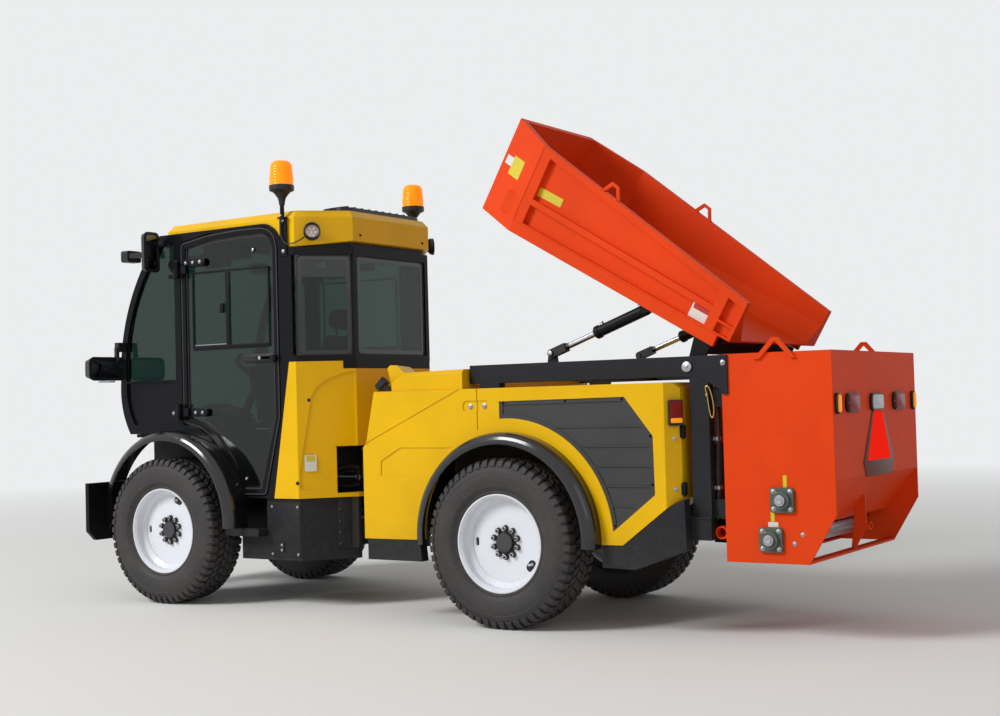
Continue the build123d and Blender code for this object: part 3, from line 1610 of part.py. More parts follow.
tip_beam_y = rail_outside - 191
tip_eye_y = rail_outside - 81
with BuildPart() as tipping_frame:
    for side in (1, -1):
        with BuildSketch(hopper_side(side * tip_beam_y)):
            with BuildLine():
                Polyline((-20, 122), (1127, 122), (1127, 199.7), (-20, 199.7), close=True)
            make_face()
        extrude(amount=30, both=True)
        with BuildSketch(hopper_side(side * tip_eye_y)):
            with BuildLine():
                Polyline((-38, 0), (-30, 139), (70, 139), (38, 0), close=True)
            make_face()
            Circle(38)
        extrude(amount=8, both=True)
        with BuildSketch(hopper_side(side * tip_eye_y)):
            Circle(tip_pin_diameter / 2 + pivot_pin_clearance)
        extrude(amount=10, both=True, mode=Mode.SUBTRACT)
        for lug_y in (cylinder_y - 36, cylinder_y + 38):
            with BuildSketch(hopper_side(side * lug_y)):
                with BuildLine():
                    Polyline(
                        (barrel_eye_along - 60, 199.7),
                        (barrel_eye_along - 26, barrel_eye_up),
                        (barrel_eye_along + 26, barrel_eye_up),
                        (barrel_eye_along + 60, 199.7),
                        close=True,
                    )
                make_face()
                with Locations((barrel_eye_along, barrel_eye_up)):
                    Circle(26)
            extrude(amount=5, both=True)
        with BuildSketch(hopper_level(190)):
            with Locations((barrel_eye_along, side * (cylinder_y - 7))):
                Rectangle(120, 100)
        extrude(amount=9.7)
        with BuildSketch(hopper_side(side * (cylinder_y - 41))):
            with Locations((barrel_eye_along, barrel_eye_up)):
                Circle(15)
        extrude(amount=-side * 84)
    for along in (20, 560, 1090):
        with BuildSketch(hopper_side(0)):
            with Locations((along, 109 if along < 100 else 160)):
                Rectangle(70, 60 if along < 100 else 70)
        extrude(amount=tip_eye_y + 8 if along < 100 else tip_beam_y - 28, both=True)
finish(tipping_frame.part, "tipping_frame")

# Tipping cylinders, one each side under the hopper
lug_plate = 12.0
eye_x = at_rear(-rod_eye_back)
for name, side in [("left", 1), ("right", -1)]:
    start = hopper_point(barrel_eye_along, side * cylinder_y, barrel_eye_up)
    dx = eye_x - start[0]
    dz = rod_eye_height - start[2]
    reach = hypot(dx, dz)
    axes = cylinder_planes(start, (dx / reach, 0, dz / reach), (0, 1, 0))
    tip_barrel = make_barrel(
        axes, barrel_diameter / 2, 350, 26, 60, 15, rod_diameter / 2 + 0.4,
    )
    finish(tip_barrel, f"tip_barrel_{name}")
    tip_rod = make_rod(axes, reach, rod_diameter / 2, 405, lug_plate)
    finish(tip_rod, f"tip_rod_{name}")

# Tipping subframe on the rear module: rails, cross beams, posts, end plates and pins
rail_inside = rail_outside - rail_width
post_front = at_rear(-1060)
post_rear = at_rear(-1160)
with BuildPart() as subframe:
    for side in (1, -1):
        with BuildSketch(Plane.XZ.offset(-side * rail_outside)):
            with BuildLine():
                Polyline(
                    (at_rear(rail_front), rail_top),
                    (at_rear(rail_front), rail_top - rail_height),
                    (post_rear, rail_top - rail_height),
                    (post_rear, rail_top),
                    close=True,
                )
            make_face()
        extrude(amount=side * rail_width)
        with BuildSketch(Plane.XY.offset(487)):
            with Locations(((post_front + post_rear) / 2, side * (rail_inside + rail_width / 2))):
                Rectangle(post_front - post_rear, rail_width)
        extrude(amount=rail_top - rail_height - 487)
        with BuildSketch(hopper_side(side * rail_inside)):
            Circle(tip_pin_diameter / 2)
        extrude(amount=side * 40)
        with BuildSketch(Plane.XZ.offset(-side * rail_outside)):
            with Locations((pin_x, pin_z)):
                Circle(28)
        extrude(amount=-side * 6)
        with BuildSketch(Plane.XY.offset(cover_top + seat_gap)):
            with Locations((at_rear(120), side * (rail_inside + rail_width / 2))):
                Rectangle(120, rail_width)
        extrude(amount=rail_top - rail_height - cover_top)
        with BuildSketch(Plane.XZ.offset(-side * (cylinder_y + lug_plate / 2))):
            with BuildLine():
                Polyline(
                    (eye_x - 40, rail_top - 53),
                    (eye_x - 24, rod_eye_height),
                    (eye_x + 24, rod_eye_height),
                    (eye_x + 40, rail_top - 53),
                    close=True,
                )
            make_face()
            with Locations((eye_x, rod_eye_height)):
                Circle(24)
        extrude(amount=side * lug_plate)
    for x0, x1, z0, z1 in [
        (at_rear(-255), at_rear(-165), rail_top - 98, rail_top - 48),
        (post_rear, post_front, frame_top + seat_gap, 745),
        (post_rear, post_front, 487, frame_bottom - seat_gap),
    ]:
        with BuildSketch(Plane.XZ):
            with Locations(((x0 + x1) / 2, (z0 + z1) / 2)):
                Rectangle(x1 - x0, z1 - z0)
        extrude(amount=rail_inside + 2, both=True)
    for side in (1, -1):
        for level in (rail_top - 208, 640):
            with BuildSketch(Plane.YZ.offset(at_rear(box_front) + seat_gap)):
                with Locations((side * (rail_inside + 16), level)):
                    Rectangle(30, 90)
            extrude(amount=post_rear - at_rear(box_front) + 1)
        with BuildSketch(Plane.XZ.offset(-side * (rail_outside - 1))):
            with Locations(((post_front + post_rear) / 2, 543)):
                Rectangle(108, 112)
        extrude(amount=-side * 21)
        with BuildSketch(Plane.XZ.offset(-side * (rail_outside + 20))):
            with Locations(((post_front + post_rear) / 2, 543)):
                Rectangle(88, 92)
        extrude(amount=side * 5, mode=Mode.SUBTRACT)
    for side in (1, -1):
        with BuildSketch(Plane.XZ.offset(-side * (rail_outside))):
            with BuildLine():
                Polyline(
                    (at_rear(-1106), rail_top),
                    (at_rear(-1266), rail_top),
                    (at_rear(-1266), rail_top - 192),
                    (at_rear(-1240), rail_top - 192),
                    (at_rear(-1225), rail_top - 166),
                    (at_rear(-1106), rail_top - 98),
                    close=True,
                )
            make_face()
        extrude(amount=-side * 10)
finish(subframe.part, "subframe")

# Spreader box: plates open at the top and at the lower back
pipe_x = -1197.0
pipe_level = 524.0
pipe_radius = 32.0
rotor_places = [("upper_rotor", -1528.0, 688.0), ("lower_rotor", -1466.0, 499.0)]
with BuildPart() as spreader_box:
    for side in (1, -1):
        with BuildSketch(Plane.XZ.offset(-side * box_half_width)):
            with BuildLine():
                Polyline(
                    (at_rear(box_front), box_bottom),
                    (at_rear(box_front), box_top),
                    (at_rear(box_rear), box_top),
                    (at_rear(box_rear), 622),
                    (at_rear(-1651), box_bottom),
                    close=True,
                )
            make_face()
            for rotor_name, x, z in rotor_places:
                with Locations((at_rear(x), z)):
                    Circle(rotor_shaft_diameter / 2 + 3, mode=Mode.SUBTRACT)
        extrude(amount=side * box_plate)
    for points in [
        [(box_front, box_bottom), (box_front, box_top), (box_front - 10, box_top), (box_front - 10, box_bottom)],
        [(box_rear, 780), (box_rear, box_top), (box_rear + 10, box_top), (box_rear + 10, 780)],
        [(box_front - 5, 1000), (box_front - 5, 1012), (-1400, 705), (-1400, 690)],
        [(box_rear + 1, 780), (box_rear + 10, 790), (-1612, 568), (-1620, 560)],
        [(box_front - 5, box_bottom), (box_front - 5, box_bottom + 10), (-1360, box_bottom + 10), (-1360, box_bottom)],
        [(-1600, box_bottom), (-1600, box_bottom + 12), (-1651, box_bottom + 12), (-1651, box_bottom)],
    ]:
        with BuildSketch(Plane.XZ):
            with BuildLine():
                Polyline(*[(at_rear(x), z) for x, z in points], close=True)
            make_face()
        extrude(amount=box_half_width - 5, both=True)
    with BuildSketch(Plane.XZ):
        with BuildLine():
            Polyline(
                (at_rear(-1712), 700),
                (at_rear(-1662), 640),
                (at_rear(-1634), box_bottom + 6),
                (at_rear(-1651), box_bottom + 6),
                (at_rear(-1716), 520),
                close=True,
            )
        make_face()
    extrude(amount=6, both=True)
    with BuildSketch(Plane.YZ.offset(at_rear(-1730))):
        with Locations((-26, 516)):
            Circle(21)
            Circle(15, mode=Mode.SUBTRACT)
    extrude(amount=60)
    with BuildSketch(Plane.XZ):
        with Locations((at_rear(pipe_x), pipe_level)):
            Circle(pipe_radius)
        with Locations((at_rear((pipe_x + box_front) / 2), pipe_level - 20)):
            Rectangle(pipe_x - box_front + 2, 16)
    extrude(amount=box_half_width - 21, both=True)
    with BuildSketch(Plane.XZ):
        with Locations((at_rear(pipe_x), pipe_level)):
            Circle(pipe_radius - 8)
    extrude(amount=box_half_width, both=True, mode=Mode.SUBTRACT)
    for side in (1, -1):
        with BuildSketch(Plane.XZ.offset(-side * (box_half_width))):
            with BuildLine():
                Polyline(
                    (at_rear(-1405), box_top - 31),
                    (at_rear(-1500), box_top + 71),
                    (at_rear(-1530), box_top + 71),
                    (at_rear(-1620), box_top - 31),
                    (at_rear(-1590), box_top - 31),
                    (at_rear(-1515), box_top + 53),
                    (at_rear(-1435), box_top - 31),
                    close=True,
                )
            make_face()
        extrude(amount=-side * 12)
finish(spreader_box.part, "spreader_box")

for rotor_name, x, z in rotor_places:
    middle = Plane(origin=(at_rear(x), 0, z), z_dir=(0, 1, 0))
    with BuildPart() as rotor:
        with BuildSketch(middle):
            Circle(rotor_shaft_diameter / 2)
        extrude(amount=box_half_width + 52, both=True)
        with BuildSketch(middle):
            Circle(rotor_tube_radius)
            with PolarLocations(rotor_tube_radius + 6, rotor_bars, start_angle=20):
                Rectangle(28, 12)
        extrude(amount=box_half_width - box_plate - 12, both=True)
    finish(rotor.part, rotor_name)

with BuildPart() as bearings:
    for side in (1, -1):
        for rotor_name, x, z in rotor_places:
            base = Plane(origin=(at_rear(x), side * (box_half_width + seat_gap), z), z_dir=(0, side, 0))
            with BuildSketch(base):
                RectangleRounded(bearing_size, bearing_size, 12)
            extrude(amount=16)
            with BuildSketch(base):
                Circle(42)
            extrude(amount=34)
            with BuildSketch(base):
                Circle(rotor_shaft_diameter / 2 + pivot_pin_clearance)
            extrude(amount=40, mode=Mode.SUBTRACT)
finish(bearings.part, "bearings")

# Lamps and the blank red marker on the back of the box
box_lamp_table = [
    # across from the middle, width, height, corner radius
    (578, 52, 100, 25),
    (380, 168, 92, 34),
    (33, 168, 86, 26),
    (-313, 168, 92, 34),
    (-560, 52, 100, 25),
]
with BuildPart() as box_lamps:
    for y, wide, high, corner in box_lamp_table:
        lamp_face = Plane(origin=(at_rear(box_rear) - seat_gap, y, 1140), x_dir=(0, -1, 0), z_dir=(-1, 0, 0))
        with BuildSketch(lamp_face):
            RectangleRounded(wide, high, corner)
        extrude(amount=16)
        with BuildSketch(lamp_face.offset(16)):
            RectangleRounded(wide - 18, high - 18, corner - 9)
        extrude(amount=8, taper=12)
finish(box_lamps.part, "box_lamps")

with BuildPart() as rear_marker:
    with BuildSketch(Plane.YZ.offset(at_rear(box_rear) - seat_gap)):
        with BuildLine():
            Polyline((-190, 835), (190, 835), (30, 1095), (-30, 1095), close=True)
        make_face()
    extrude(amount=-4)
finish(rear_marker.part, "rear_marker")
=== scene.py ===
# Articulated compact tractor: finishes, small parts, floor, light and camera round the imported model
import bpy
import math
import random
from mathutils import Matrix, Vector


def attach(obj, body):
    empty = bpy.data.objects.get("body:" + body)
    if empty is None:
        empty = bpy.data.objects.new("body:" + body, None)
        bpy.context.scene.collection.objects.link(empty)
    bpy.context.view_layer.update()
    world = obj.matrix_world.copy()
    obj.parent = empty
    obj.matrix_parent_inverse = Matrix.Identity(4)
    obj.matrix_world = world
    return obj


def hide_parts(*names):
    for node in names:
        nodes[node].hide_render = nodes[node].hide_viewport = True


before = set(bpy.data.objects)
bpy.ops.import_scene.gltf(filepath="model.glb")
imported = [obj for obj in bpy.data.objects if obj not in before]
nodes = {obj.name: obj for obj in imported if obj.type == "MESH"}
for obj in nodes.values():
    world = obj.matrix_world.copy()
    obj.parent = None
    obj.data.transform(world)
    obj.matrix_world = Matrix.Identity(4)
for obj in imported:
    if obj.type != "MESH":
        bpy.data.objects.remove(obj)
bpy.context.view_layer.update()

ops = bpy.ops
random.seed(7)
print("stage 1: packed model loaded,", len(nodes), "nodes")

rearAxle = -0.710  # places that the pieces share, in metres
frontAxle = 1.773
axleHeight = 0.447
halfTrack = 0.640
rodFork = (-0.919, 1.438)  # x and z of the forks on the tipping rods


# Finishes


class Wire:  # one output in a material, so that masks can be written as sums
    def __init__(self, finish, socket):
        self.finish = finish
        self.socket = socket

    def maths(self, operation, *others):
        return self.finish.maths(operation, self, *others)

    def __add__(self, other):
        return self.maths("ADD", other)

    __radd__ = __add__

    def __mul__(self, other):
        return self.maths("MULTIPLY", other)

    __rmul__ = __mul__

    def __sub__(self, other):
        return self.maths("SUBTRACT", other)

    def __rsub__(self, other):
        return self.finish.maths("SUBTRACT", other, self)

    def __pow__(self, other):
        return self.maths("POWER", other)

    def __lt__(self, other):
        return self.maths("LESS_THAN", other)

    def clamped(self):
        return self.finish.node("ShaderNodeClamp", {}, {"Value": self})


class Finish:  # a material and the shader that it ends in
    def __init__(self, name, **settings):
        self.material = bpy.data.materials.new(name)
        self.material.use_nodes = True
        self.tree = self.material.node_tree
        self.tree.nodes.clear()
        self.output = self.tree.nodes.new("ShaderNodeOutputMaterial")
        self.shader = self.tree.nodes.new("ShaderNodeBsdfPrincipled")
        self.tree.links.new(self.shader.outputs[0], self.output.inputs[0])
        self.where = self.node("ShaderNodeTexCoord", {}, {}, "Object")
        for key, value in settings.items():
            self.plug(self.shader.inputs[key.replace("_", " ")], value)

    def plug(self, socket, value):
        if isinstance(value, Wire):
            self.tree.links.new(value.socket, socket)
        else:
            socket.default_value = value

    def node(self, kind, settings, inputs, output=0):
        made = self.tree.nodes.new(kind)
        for key, value in settings.items():
            setattr(made, key, value)
        for key, value in inputs.items():
            self.plug(made.inputs[key], value)
        return Wire(self, made.outputs[output])

    def maths(self, operation, *values):
        return self.node("ShaderNodeMath", {"operation": operation}, dict(enumerate(values)))

    def split(self, vector):
        made = self.tree.nodes.new("ShaderNodeSeparateXYZ")
        self.plug(made.inputs[0], vector)
        return [Wire(self, out) for out in made.outputs]

    def noise(self, scale, detail=3, roughness=0.55):
        values = {"Vector": self.where, "Scale": scale, "Detail": detail, "Roughness": roughness}
        return self.node("ShaderNodeTexNoise", {}, values, "Fac")

    def ramp(self, value, low, high):
        return self.node("ShaderNodeMapRange", {}, {"Value": value, "From Min": low, "From Max": high})

    def mixed(self, first, second, share):
        made = self.tree.nodes.new("ShaderNodeMix")
        made.data_type = "RGBA"
        self.plug(made.inputs[0], share)
        self.plug(made.inputs[6], first)
        self.plug(made.inputs[7], second)
        return Wire(self, made.outputs[2])

    def softened(self, radius):
        return self.node("ShaderNodeBevel", {"samples": 4}, {"Radius": radius})

    def bump(self, height, strength, distance, normal=None):
        values = {"Height": height, "Strength": strength, "Distance": distance}
        if normal:
            values["Normal"] = normal
        return self.node("ShaderNodeBump", {}, values)

    def set(self, key, value):
        self.plug(self.shader.inputs[key], value)


def colour(red, green, blue):  # from screen values, 0 to 255
    def straight(value):
        share = value / 255
        return share / 12.92 if share <= 0.04045 else ((share + 0.055) / 1.055) ** 2.4

    return (straight(red), straight(green), straight(blue), 1)


def darker(shade, share):
    return (shade[0] * share, shade[1] * share, shade[2] * share, 1)


paints = {
    "yellow": {
        "colour": (238, 186, 2), "dust": (150, 120, 58), "roughness": 0.28, "coat": 0.07, "gloss": 0.16, "peel": 0.06,
        "dustTop": 0.55
    },
    "orange": {
        "colour": (230, 68, 16), "dust": (176, 84, 48), "roughness": 0.47, "coat": 0.0, "gloss": 0.10, "peel": 0.10,
        "dustTop": 0.60
    },
    "frame": {
        "colour": (15, 16, 21), "dust": (52, 51, 50), "roughness": 0.22, "coat": 0.04, "gloss": 0.12, "peel": 0.05,
        "dustTop": 0.50
    },
    "bearingPaint": {
        "colour": (86, 96, 88), "dust": (118, 112, 98), "roughness": 0.46, "coat": 0.0, "gloss": 0.3, "peel": 0.5,
        "dustTop": 0.80
    },
    "blackPaint": {
        "colour": (20, 20, 23), "dust": (64, 61, 57), "roughness": 0.36, "coat": 0.0, "gloss": 0.13, "peel": 0.2,
        "dustTop": 0.80
    },
    "railPaint": {
        "colour": (33, 34, 38), "dust": (82, 78, 72), "roughness": 0.44, "coat": 0.0, "gloss": 0.17, "peel": 0.35,
        "dustTop": 0.90
    },
    "white": {
        "colour": (226, 229, 235), "dust": (176, 170, 158), "roughness": 0.35, "coat": 0.3, "peel": 0.06,
        "dustTop": 0.20
    },
    "blackPlastic": {
        "colour": (30, 31, 34), "dust": (84, 82, 78), "roughness": 0.36, "coat": 0.0, "peel": 0.4, "dustTop": 0.70
    },
    "blackGloss": {
        "colour": (16, 17, 20), "dust": (60, 60, 58), "roughness": 0.14, "coat": 0.6, "peel": 0.04, "dustTop": 0.70
    },
    "castIron": {
        "colour": (58, 57, 55), "dust": (92, 84, 72), "roughness": 0.62, "coat": 0.0, "peel": 0.8, "dustTop": 0.80
    },
    "labelYellow": {
        "colour": (214, 196, 40), "dust": (150, 140, 90), "roughness": 0.42, "coat": 0.2, "peel": 0.04,
        "dustTop": 0.60
    },
    "labelWhite": {
        "colour": (222, 222, 216), "dust": (160, 154, 140), "roughness": 0.42, "coat": 0.2, "peel": 0.04,
        "dustTop": 0.60
    },
    "markerEdge": {
        "colour": (96, 30, 14), "dust": (120, 80, 60), "roughness": 0.42, "coat": 0.1, "peel": 0.06, "dustTop": 0.60
    },
    "labelRed": {
        "colour": (196, 38, 30), "dust": (150, 110, 90), "roughness": 0.42, "coat": 0.2, "peel": 0.04, "dustTop": 0.60
    },
}


def makePaint(name, look):
    finish = Finish(name)
    base = colour(*look["colour"])
    height = finish.split(finish.where)[2]
    cloud = finish.noise(2.2, 4)
    speck = finish.noise(38, 5, 0.7)
    low = finish.ramp(height, look["dustTop"], 0.25)
    dirt = (low * 0.42 * finish.ramp(speck * 0.6 + cloud * 0.4, 0.38, 0.72)).clamped()
    shade = finish.mixed(base, darker(base, 0.86), finish.ramp(cloud, 0.35, 0.75))
    finish.set("Base Color", finish.mixed(shade, colour(*look["dust"]), dirt))
    finish.set("Roughness", look["roughness"] + dirt * 0.35 + speck * 0.06)
    finish.set("Coat Weight", look["coat"])
    finish.shader.inputs["Coat Roughness"].default_value = 0.12
    finish.shader.inputs["Specular IOR Level"].default_value = look.get("gloss", 0.35)
    peel = finish.noise(420, 2)
    wave = finish.noise(6, 2)
    finish.set("Normal", finish.bump(peel * 0.3 + wave, look["peel"], 0.0012, finish.softened(0.004)))
    return finish.material


def makeRubber():
    finish = Finish("rubber")
    speck = finish.noise(60, 5, 0.7)
    cloud = finish.noise(7, 3)
    dust = finish.ramp(speck * 0.5 + cloud * 0.5, 0.42, 0.68)
    finish.set("Base Color", finish.mixed(colour(38, 36, 37), colour(92, 86, 80), dust * 0.42))
    finish.set("Roughness", 0.62 + dust * 0.22)
    finish.set("Normal", finish.bump(finish.noise(260, 3) + cloud, 0.25, 0.0012))
    return finish.material


def makeMetal(name, shade, roughness, scratch=0.1, grain=0.08):
    finish = Finish(name, Metallic=1.0)
    speck = finish.noise(90, 4, 0.7)
    finish.set("Base Color", finish.mixed(colour(*shade), darker(colour(*shade), 0.6), finish.ramp(speck, 0.45, 0.8)))
    finish.set("Roughness", roughness + speck * scratch)
    finish.set("Normal", finish.bump(finish.noise(300, 2), grain, 0.001, finish.softened(0.0015)))
    return finish.material


def makeTipRod():  # bright rod whose fork is painted black
    finish = Finish("tipRod", Roughness=0.2)
    x, y, z = finish.split(finish.where)
    along, up = x - rodFork[0], z - rodFork[1]
    reach = (along * along + up * up).maths("SQRT")
    painted = finish.ramp(reach, 0.118, 0.112)
    finish.set("Base Color", finish.mixed(colour(190, 191, 195), colour(22, 22, 24), painted))
    finish.set("Metallic", painted * -1.0 + 1.0)
    finish.set("Roughness", painted * 0.2 + 0.16)
    return finish.material


def makeGlass(name, shade):
    finish = Finish(name, Transmission_Weight=1.0, IOR=1.45, Roughness=0.0)
    finish.shader.inputs["Specular IOR Level"].default_value = 0.28
    smear = finish.noise(3.5, 5, 0.6)
    finish.set("Base Color", finish.mixed(colour(*shade), darker(colour(*shade), 0.8), smear))
    return finish.material


def makeLens(name, shade, glow=0.12, ribs=90, clear=0.35):
    finish = Finish(name, Base_Color=colour(*shade), Transmission_Weight=clear, IOR=1.49)
    finish.shader.inputs["Specular IOR Level"].default_value = 0.15
    finish.shader.inputs["Emission Color"].default_value = colour(*shade)
    finish.shader.inputs["Emission Strength"].default_value = glow
    height = finish.split(finish.where)[2]
    ridge = (height * (ribs * 2 * math.pi)).maths("SINE")
    finish.set("Roughness", 0.12 + finish.noise(25, 3) * 0.1)
    finish.set("Normal", finish.bump(ridge, 0.35, 0.002))
    return finish.material


def makeMesh():  # fine woven screen over the radiator
    finish = Finish("screen")
    x, y, z = finish.split(finish.where)
    pitch = 620
    across = ((x + z) * pitch).maths("SINE")
    down = ((x - z) * pitch).maths("SINE")
    hole = finish.ramp(across * down, 0.0, 0.5)
    cloud = finish.noise(4, 4)
    finish.set("Base Color", finish.mixed(colour(62, 62, 64), colour(14, 14, 15), hole * 0.6 + cloud * 0.4))
    finish.set("Roughness", 0.5 + hole * 0.3)
    finish.set("Normal", finish.bump(1 - hole, 0.5, 0.002))
    return finish.material


def makeCloth(name, dark, pale):
    finish = Finish(name)
    x, y, z = finish.split(finish.where)
    weave = (x * 2600).maths("SINE") * (y * 2600 + z * 2600).maths("SINE")
    cloud = finish.noise(14, 4)
    finish.set(
        "Base Color", finish.mixed(colour(*dark), colour(*pale), finish.ramp(weave * 0.35 + cloud, 0.35, 0.85))
    )
    finish.set("Roughness", 0.86 + cloud * 0.08)
    finish.shader.inputs["Sheen Weight"].default_value = 0.3
    finish.set("Normal", finish.bump(weave, 0.3, 0.0008))
    return finish.material


def makeWheelPaint():  # white disc with a dark hub
    finish = Finish("wheelPaint")
    base = colour(226, 229, 236)
    x, y, z = finish.split(finish.where)
    up = (z - axleHeight) ** 2
    near = ((x - frontAxle) ** 2).maths("MINIMUM", (x - rearAxle) ** 2)
    reach = (near + up).maths("SQRT")
    hub = reach < 0.0515
    cloud = finish.noise(6, 4)
    speck = finish.noise(70, 5, 0.7)
    grime = finish.ramp(reach, 0.16, 0.245) * finish.ramp(cloud * 0.5 + speck * 0.5, 0.42, 0.7) * 0.3
    painted = finish.mixed(base, colour(150, 140, 126), grime.clamped())
    finish.set("Base Color", finish.mixed(painted, colour(46, 47, 50), hub))
    finish.set("Roughness", 0.32 + grime * 0.4 + hub * 0.15)
    finish.set("Coat Weight", 0.25)
    finish.set("Normal", finish.bump(finish.noise(300, 2), 0.06, 0.001, finish.softened(0.003)))
    return finish.material


def makeReflector():  # bright red sheet with fine cells and a painted glow
    finish = Finish("markerRed", Roughness=0.75)
    finish.shader.inputs["Specular IOR Level"].default_value = 0.0
    x, y, z = finish.split(finish.where)
    cell = ((y + z) * 900).maths("SINE") * ((y - z) * 900).maths("SINE")
    cloud = finish.noise(5, 3)
    finish.set(
        "Base Color",
        finish.mixed(colour(242, 40, 22), colour(214, 26, 14), finish.ramp(cell * 0.4 + cloud, 0.2, 0.9))
    )
    # painted glow: the reflector sheet gives off red light of its own, though it is no lamp
    finish.shader.inputs["Emission Color"].default_value = colour(236, 34, 20)
    finish.shader.inputs["Emission Strength"].default_value = 0.55
    finish.set("Normal", finish.bump(cell, 0.2, 0.0008))
    return finish.material


looks = {name: makePaint(name, look) for name, look in paints.items()}
looks["rubber"] = makeRubber()
looks["wheelPaint"] = makeWheelPaint()
looks["chrome"] = makeMetal("chrome", (205, 206, 210), 0.14, 0.05, 0.01)
looks["tipRod"] = makeTipRod()
looks["zinc"] = makeMetal("zinc", (176, 178, 182), 0.32)
looks["brass"] = makeMetal("brass", (196, 164, 96), 0.3)
looks["lampReflector"] = makeMetal("lampReflector", (168, 140, 118), 0.22)
looks["cabGlass"] = makeGlass("cabGlass", (94, 122, 114))
looks["mirrorGlass"] = makeMetal("mirrorGlass", (96, 98, 102), 0.03, 0.02)
looks["amber"] = makeLens("amber", (255, 152, 10), 0.42, 60, 0.15)
looks["redLens"] = makeLens("redLens", (132, 14, 8), 0.05, 160, 0.0)
looks["clearLens"] = makeLens("clearLens", (222, 226, 230), 0.05, 160)
looks["screen"] = makeMesh()
looks["markerRed"] = makeReflector()
looks["seatCloth"] = makeCloth("seatCloth", (66, 74, 88), (118, 128, 142))
looks["linerCloth"] = makeCloth("linerCloth", (58, 58, 60), (84, 84, 86))
print("stage 2: finishes made,", len(looks))


# Ways of making pieces


def pick(*chosen):
    ops.object.select_all(action="DESELECT")
    for each in chosen:
        each.select_set(True)
    bpy.context.view_layer.objects.active = chosen[0]


def settle(piece):  # its place goes into its mesh
    pick(piece)
    ops.object.transform_apply(location=True, rotation=True, scale=True)
    return piece


def useModifier(piece, kind, **settings):
    pick(piece)
    modifier = piece.modifiers.new(kind.lower(), kind)
    for key, value in settings.items():
        setattr(modifier, key, value)
    ops.object.modifier_apply(modifier=modifier.name)
    return piece


bevelFrom = math.radians(35)  # edges that turn more than this are bevelled


def bevelled(piece, width, segments=2):
    return useModifier(piece, "BEVEL", width=width, segments=segments, limit_method="ANGLE", angle_limit=bevelFrom)


def block(name, centre, size, bevel=0.003):
    ops.mesh.primitive_cube_add(size=1, location=centre)
    piece = bpy.context.object
    piece.name = name
    piece.scale = size
    settle(piece)
    return bevelled(piece, bevel) if bevel else piece


def aim(direction):
    return Vector(direction).to_track_quat("Z", "Y").to_euler()


def rod(name, start, end, radius, sides=24, bevel=0.0):
    start, end = Vector(start), Vector(end)
    along = end - start
    ops.mesh.primitive_cone_add(
        vertices=sides, radius1=radius, radius2=radius,
        depth=along.length, location=(start + end) / 2, rotation=aim(along),
    )
    piece = settle(bpy.context.object)
    piece.name = name
    return bevelled(piece, bevel) if bevel else piece


def chain(name, points):  # a row of edges, drawn one point after another
    ops.mesh.primitive_plane_add(size=0.01, location=(0, 0, 0))
    piece = bpy.context.object
    piece.name = name
    ops.object.mode_set(mode="EDIT")
    ops.mesh.select_all(action="SELECT")
    ops.mesh.merge(type="CENTER")
    ops.transform.translate(value=points[0])
    for here, there in zip(points, points[1:]):
        step = Vector(there) - Vector(here)
        ops.mesh.extrude_region_move(TRANSFORM_OT_translate={"value": step})
    return piece


def lathe(name, profile, centre, axis, steps=64):  # profile: along the axis, then radius
    axis = Vector(axis).normalized()
    side = axis.orthogonal().normalized()
    centre = Vector(centre)
    piece = chain(name, [centre + axis * along + side * radius for along, radius in profile])
    ops.mesh.select_all(action="SELECT")
    ops.mesh.spin(steps=steps, angle=2 * math.pi, center=centre, axis=axis)
    ops.mesh.select_all(action="SELECT")
    ops.mesh.remove_doubles(threshold=1e-5)
    ops.mesh.normals_make_consistent(inside=False)
    ops.object.mode_set(mode="OBJECT")
    return piece


def plate(name, points, depth, bevel=0.002):  # points of one flat face, pushed along depth
    piece = chain(name, points)
    ops.mesh.select_all(action="SELECT")
    ops.mesh.edge_face_add()
    ops.mesh.extrude_region_move(TRANSFORM_OT_translate={"value": depth})
    ops.mesh.select_all(action="SELECT")
    ops.mesh.normals_make_consistent(inside=False)
    ops.object.mode_set(mode="OBJECT")
    return bevelled(piece, bevel) if bevel else piece


def tube(name, points, radius, sides=8):
    ops.curve.primitive_nurbs_path_add(location=(0, 0, 0))
    path = bpy.context.object
    path.name = name
    path.data.splines.clear()
    line = path.data.splines.new("NURBS")
    line.points.add(len(points) - 1)
    for spot, point in zip(line.points, points):
        spot.co = (*point, 1)
    line.order_u = 3
    line.use_endpoint_u = True
    path.data.resolution_u = 8
    path.data.bevel_depth = radius
    path.data.bevel_resolution = sides // 4
    path.data.use_fill_caps = True
    pick(path)
    ops.object.convert(target="MESH")
    return settle(bpy.context.object)


def again(piece, matrix, name=None):  # a copy with its own mesh
    twin = piece.copy()
    twin.data = piece.data.copy()
    bpy.context.collection.objects.link(twin)
    twin.data.transform(matrix)
    if matrix.determinant() < 0:
        twin.data.flip_normals()
    twin.name = name or piece.name
    return twin


def joined(name, pieces):
    pick(*pieces)
    ops.object.join()
    made = bpy.context.object
    made.name = name
    made.data.name = name
    return made


mirrored = Matrix.Diagonal((1, -1, 1, 1))


def bothSides(name, piece):
    return joined(name, [piece, again(piece, mirrored)])


def keep(piece, look, body, smooth=35, replaced=()):
    piece.data.materials.clear()
    piece.data.materials.append(looks[look])
    if smooth:
        pick(piece)
        ops.object.shade_smooth_by_angle(angle=math.radians(smooth))
    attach(piece, body)
    if replaced:
        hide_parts(*replaced)
    return piece


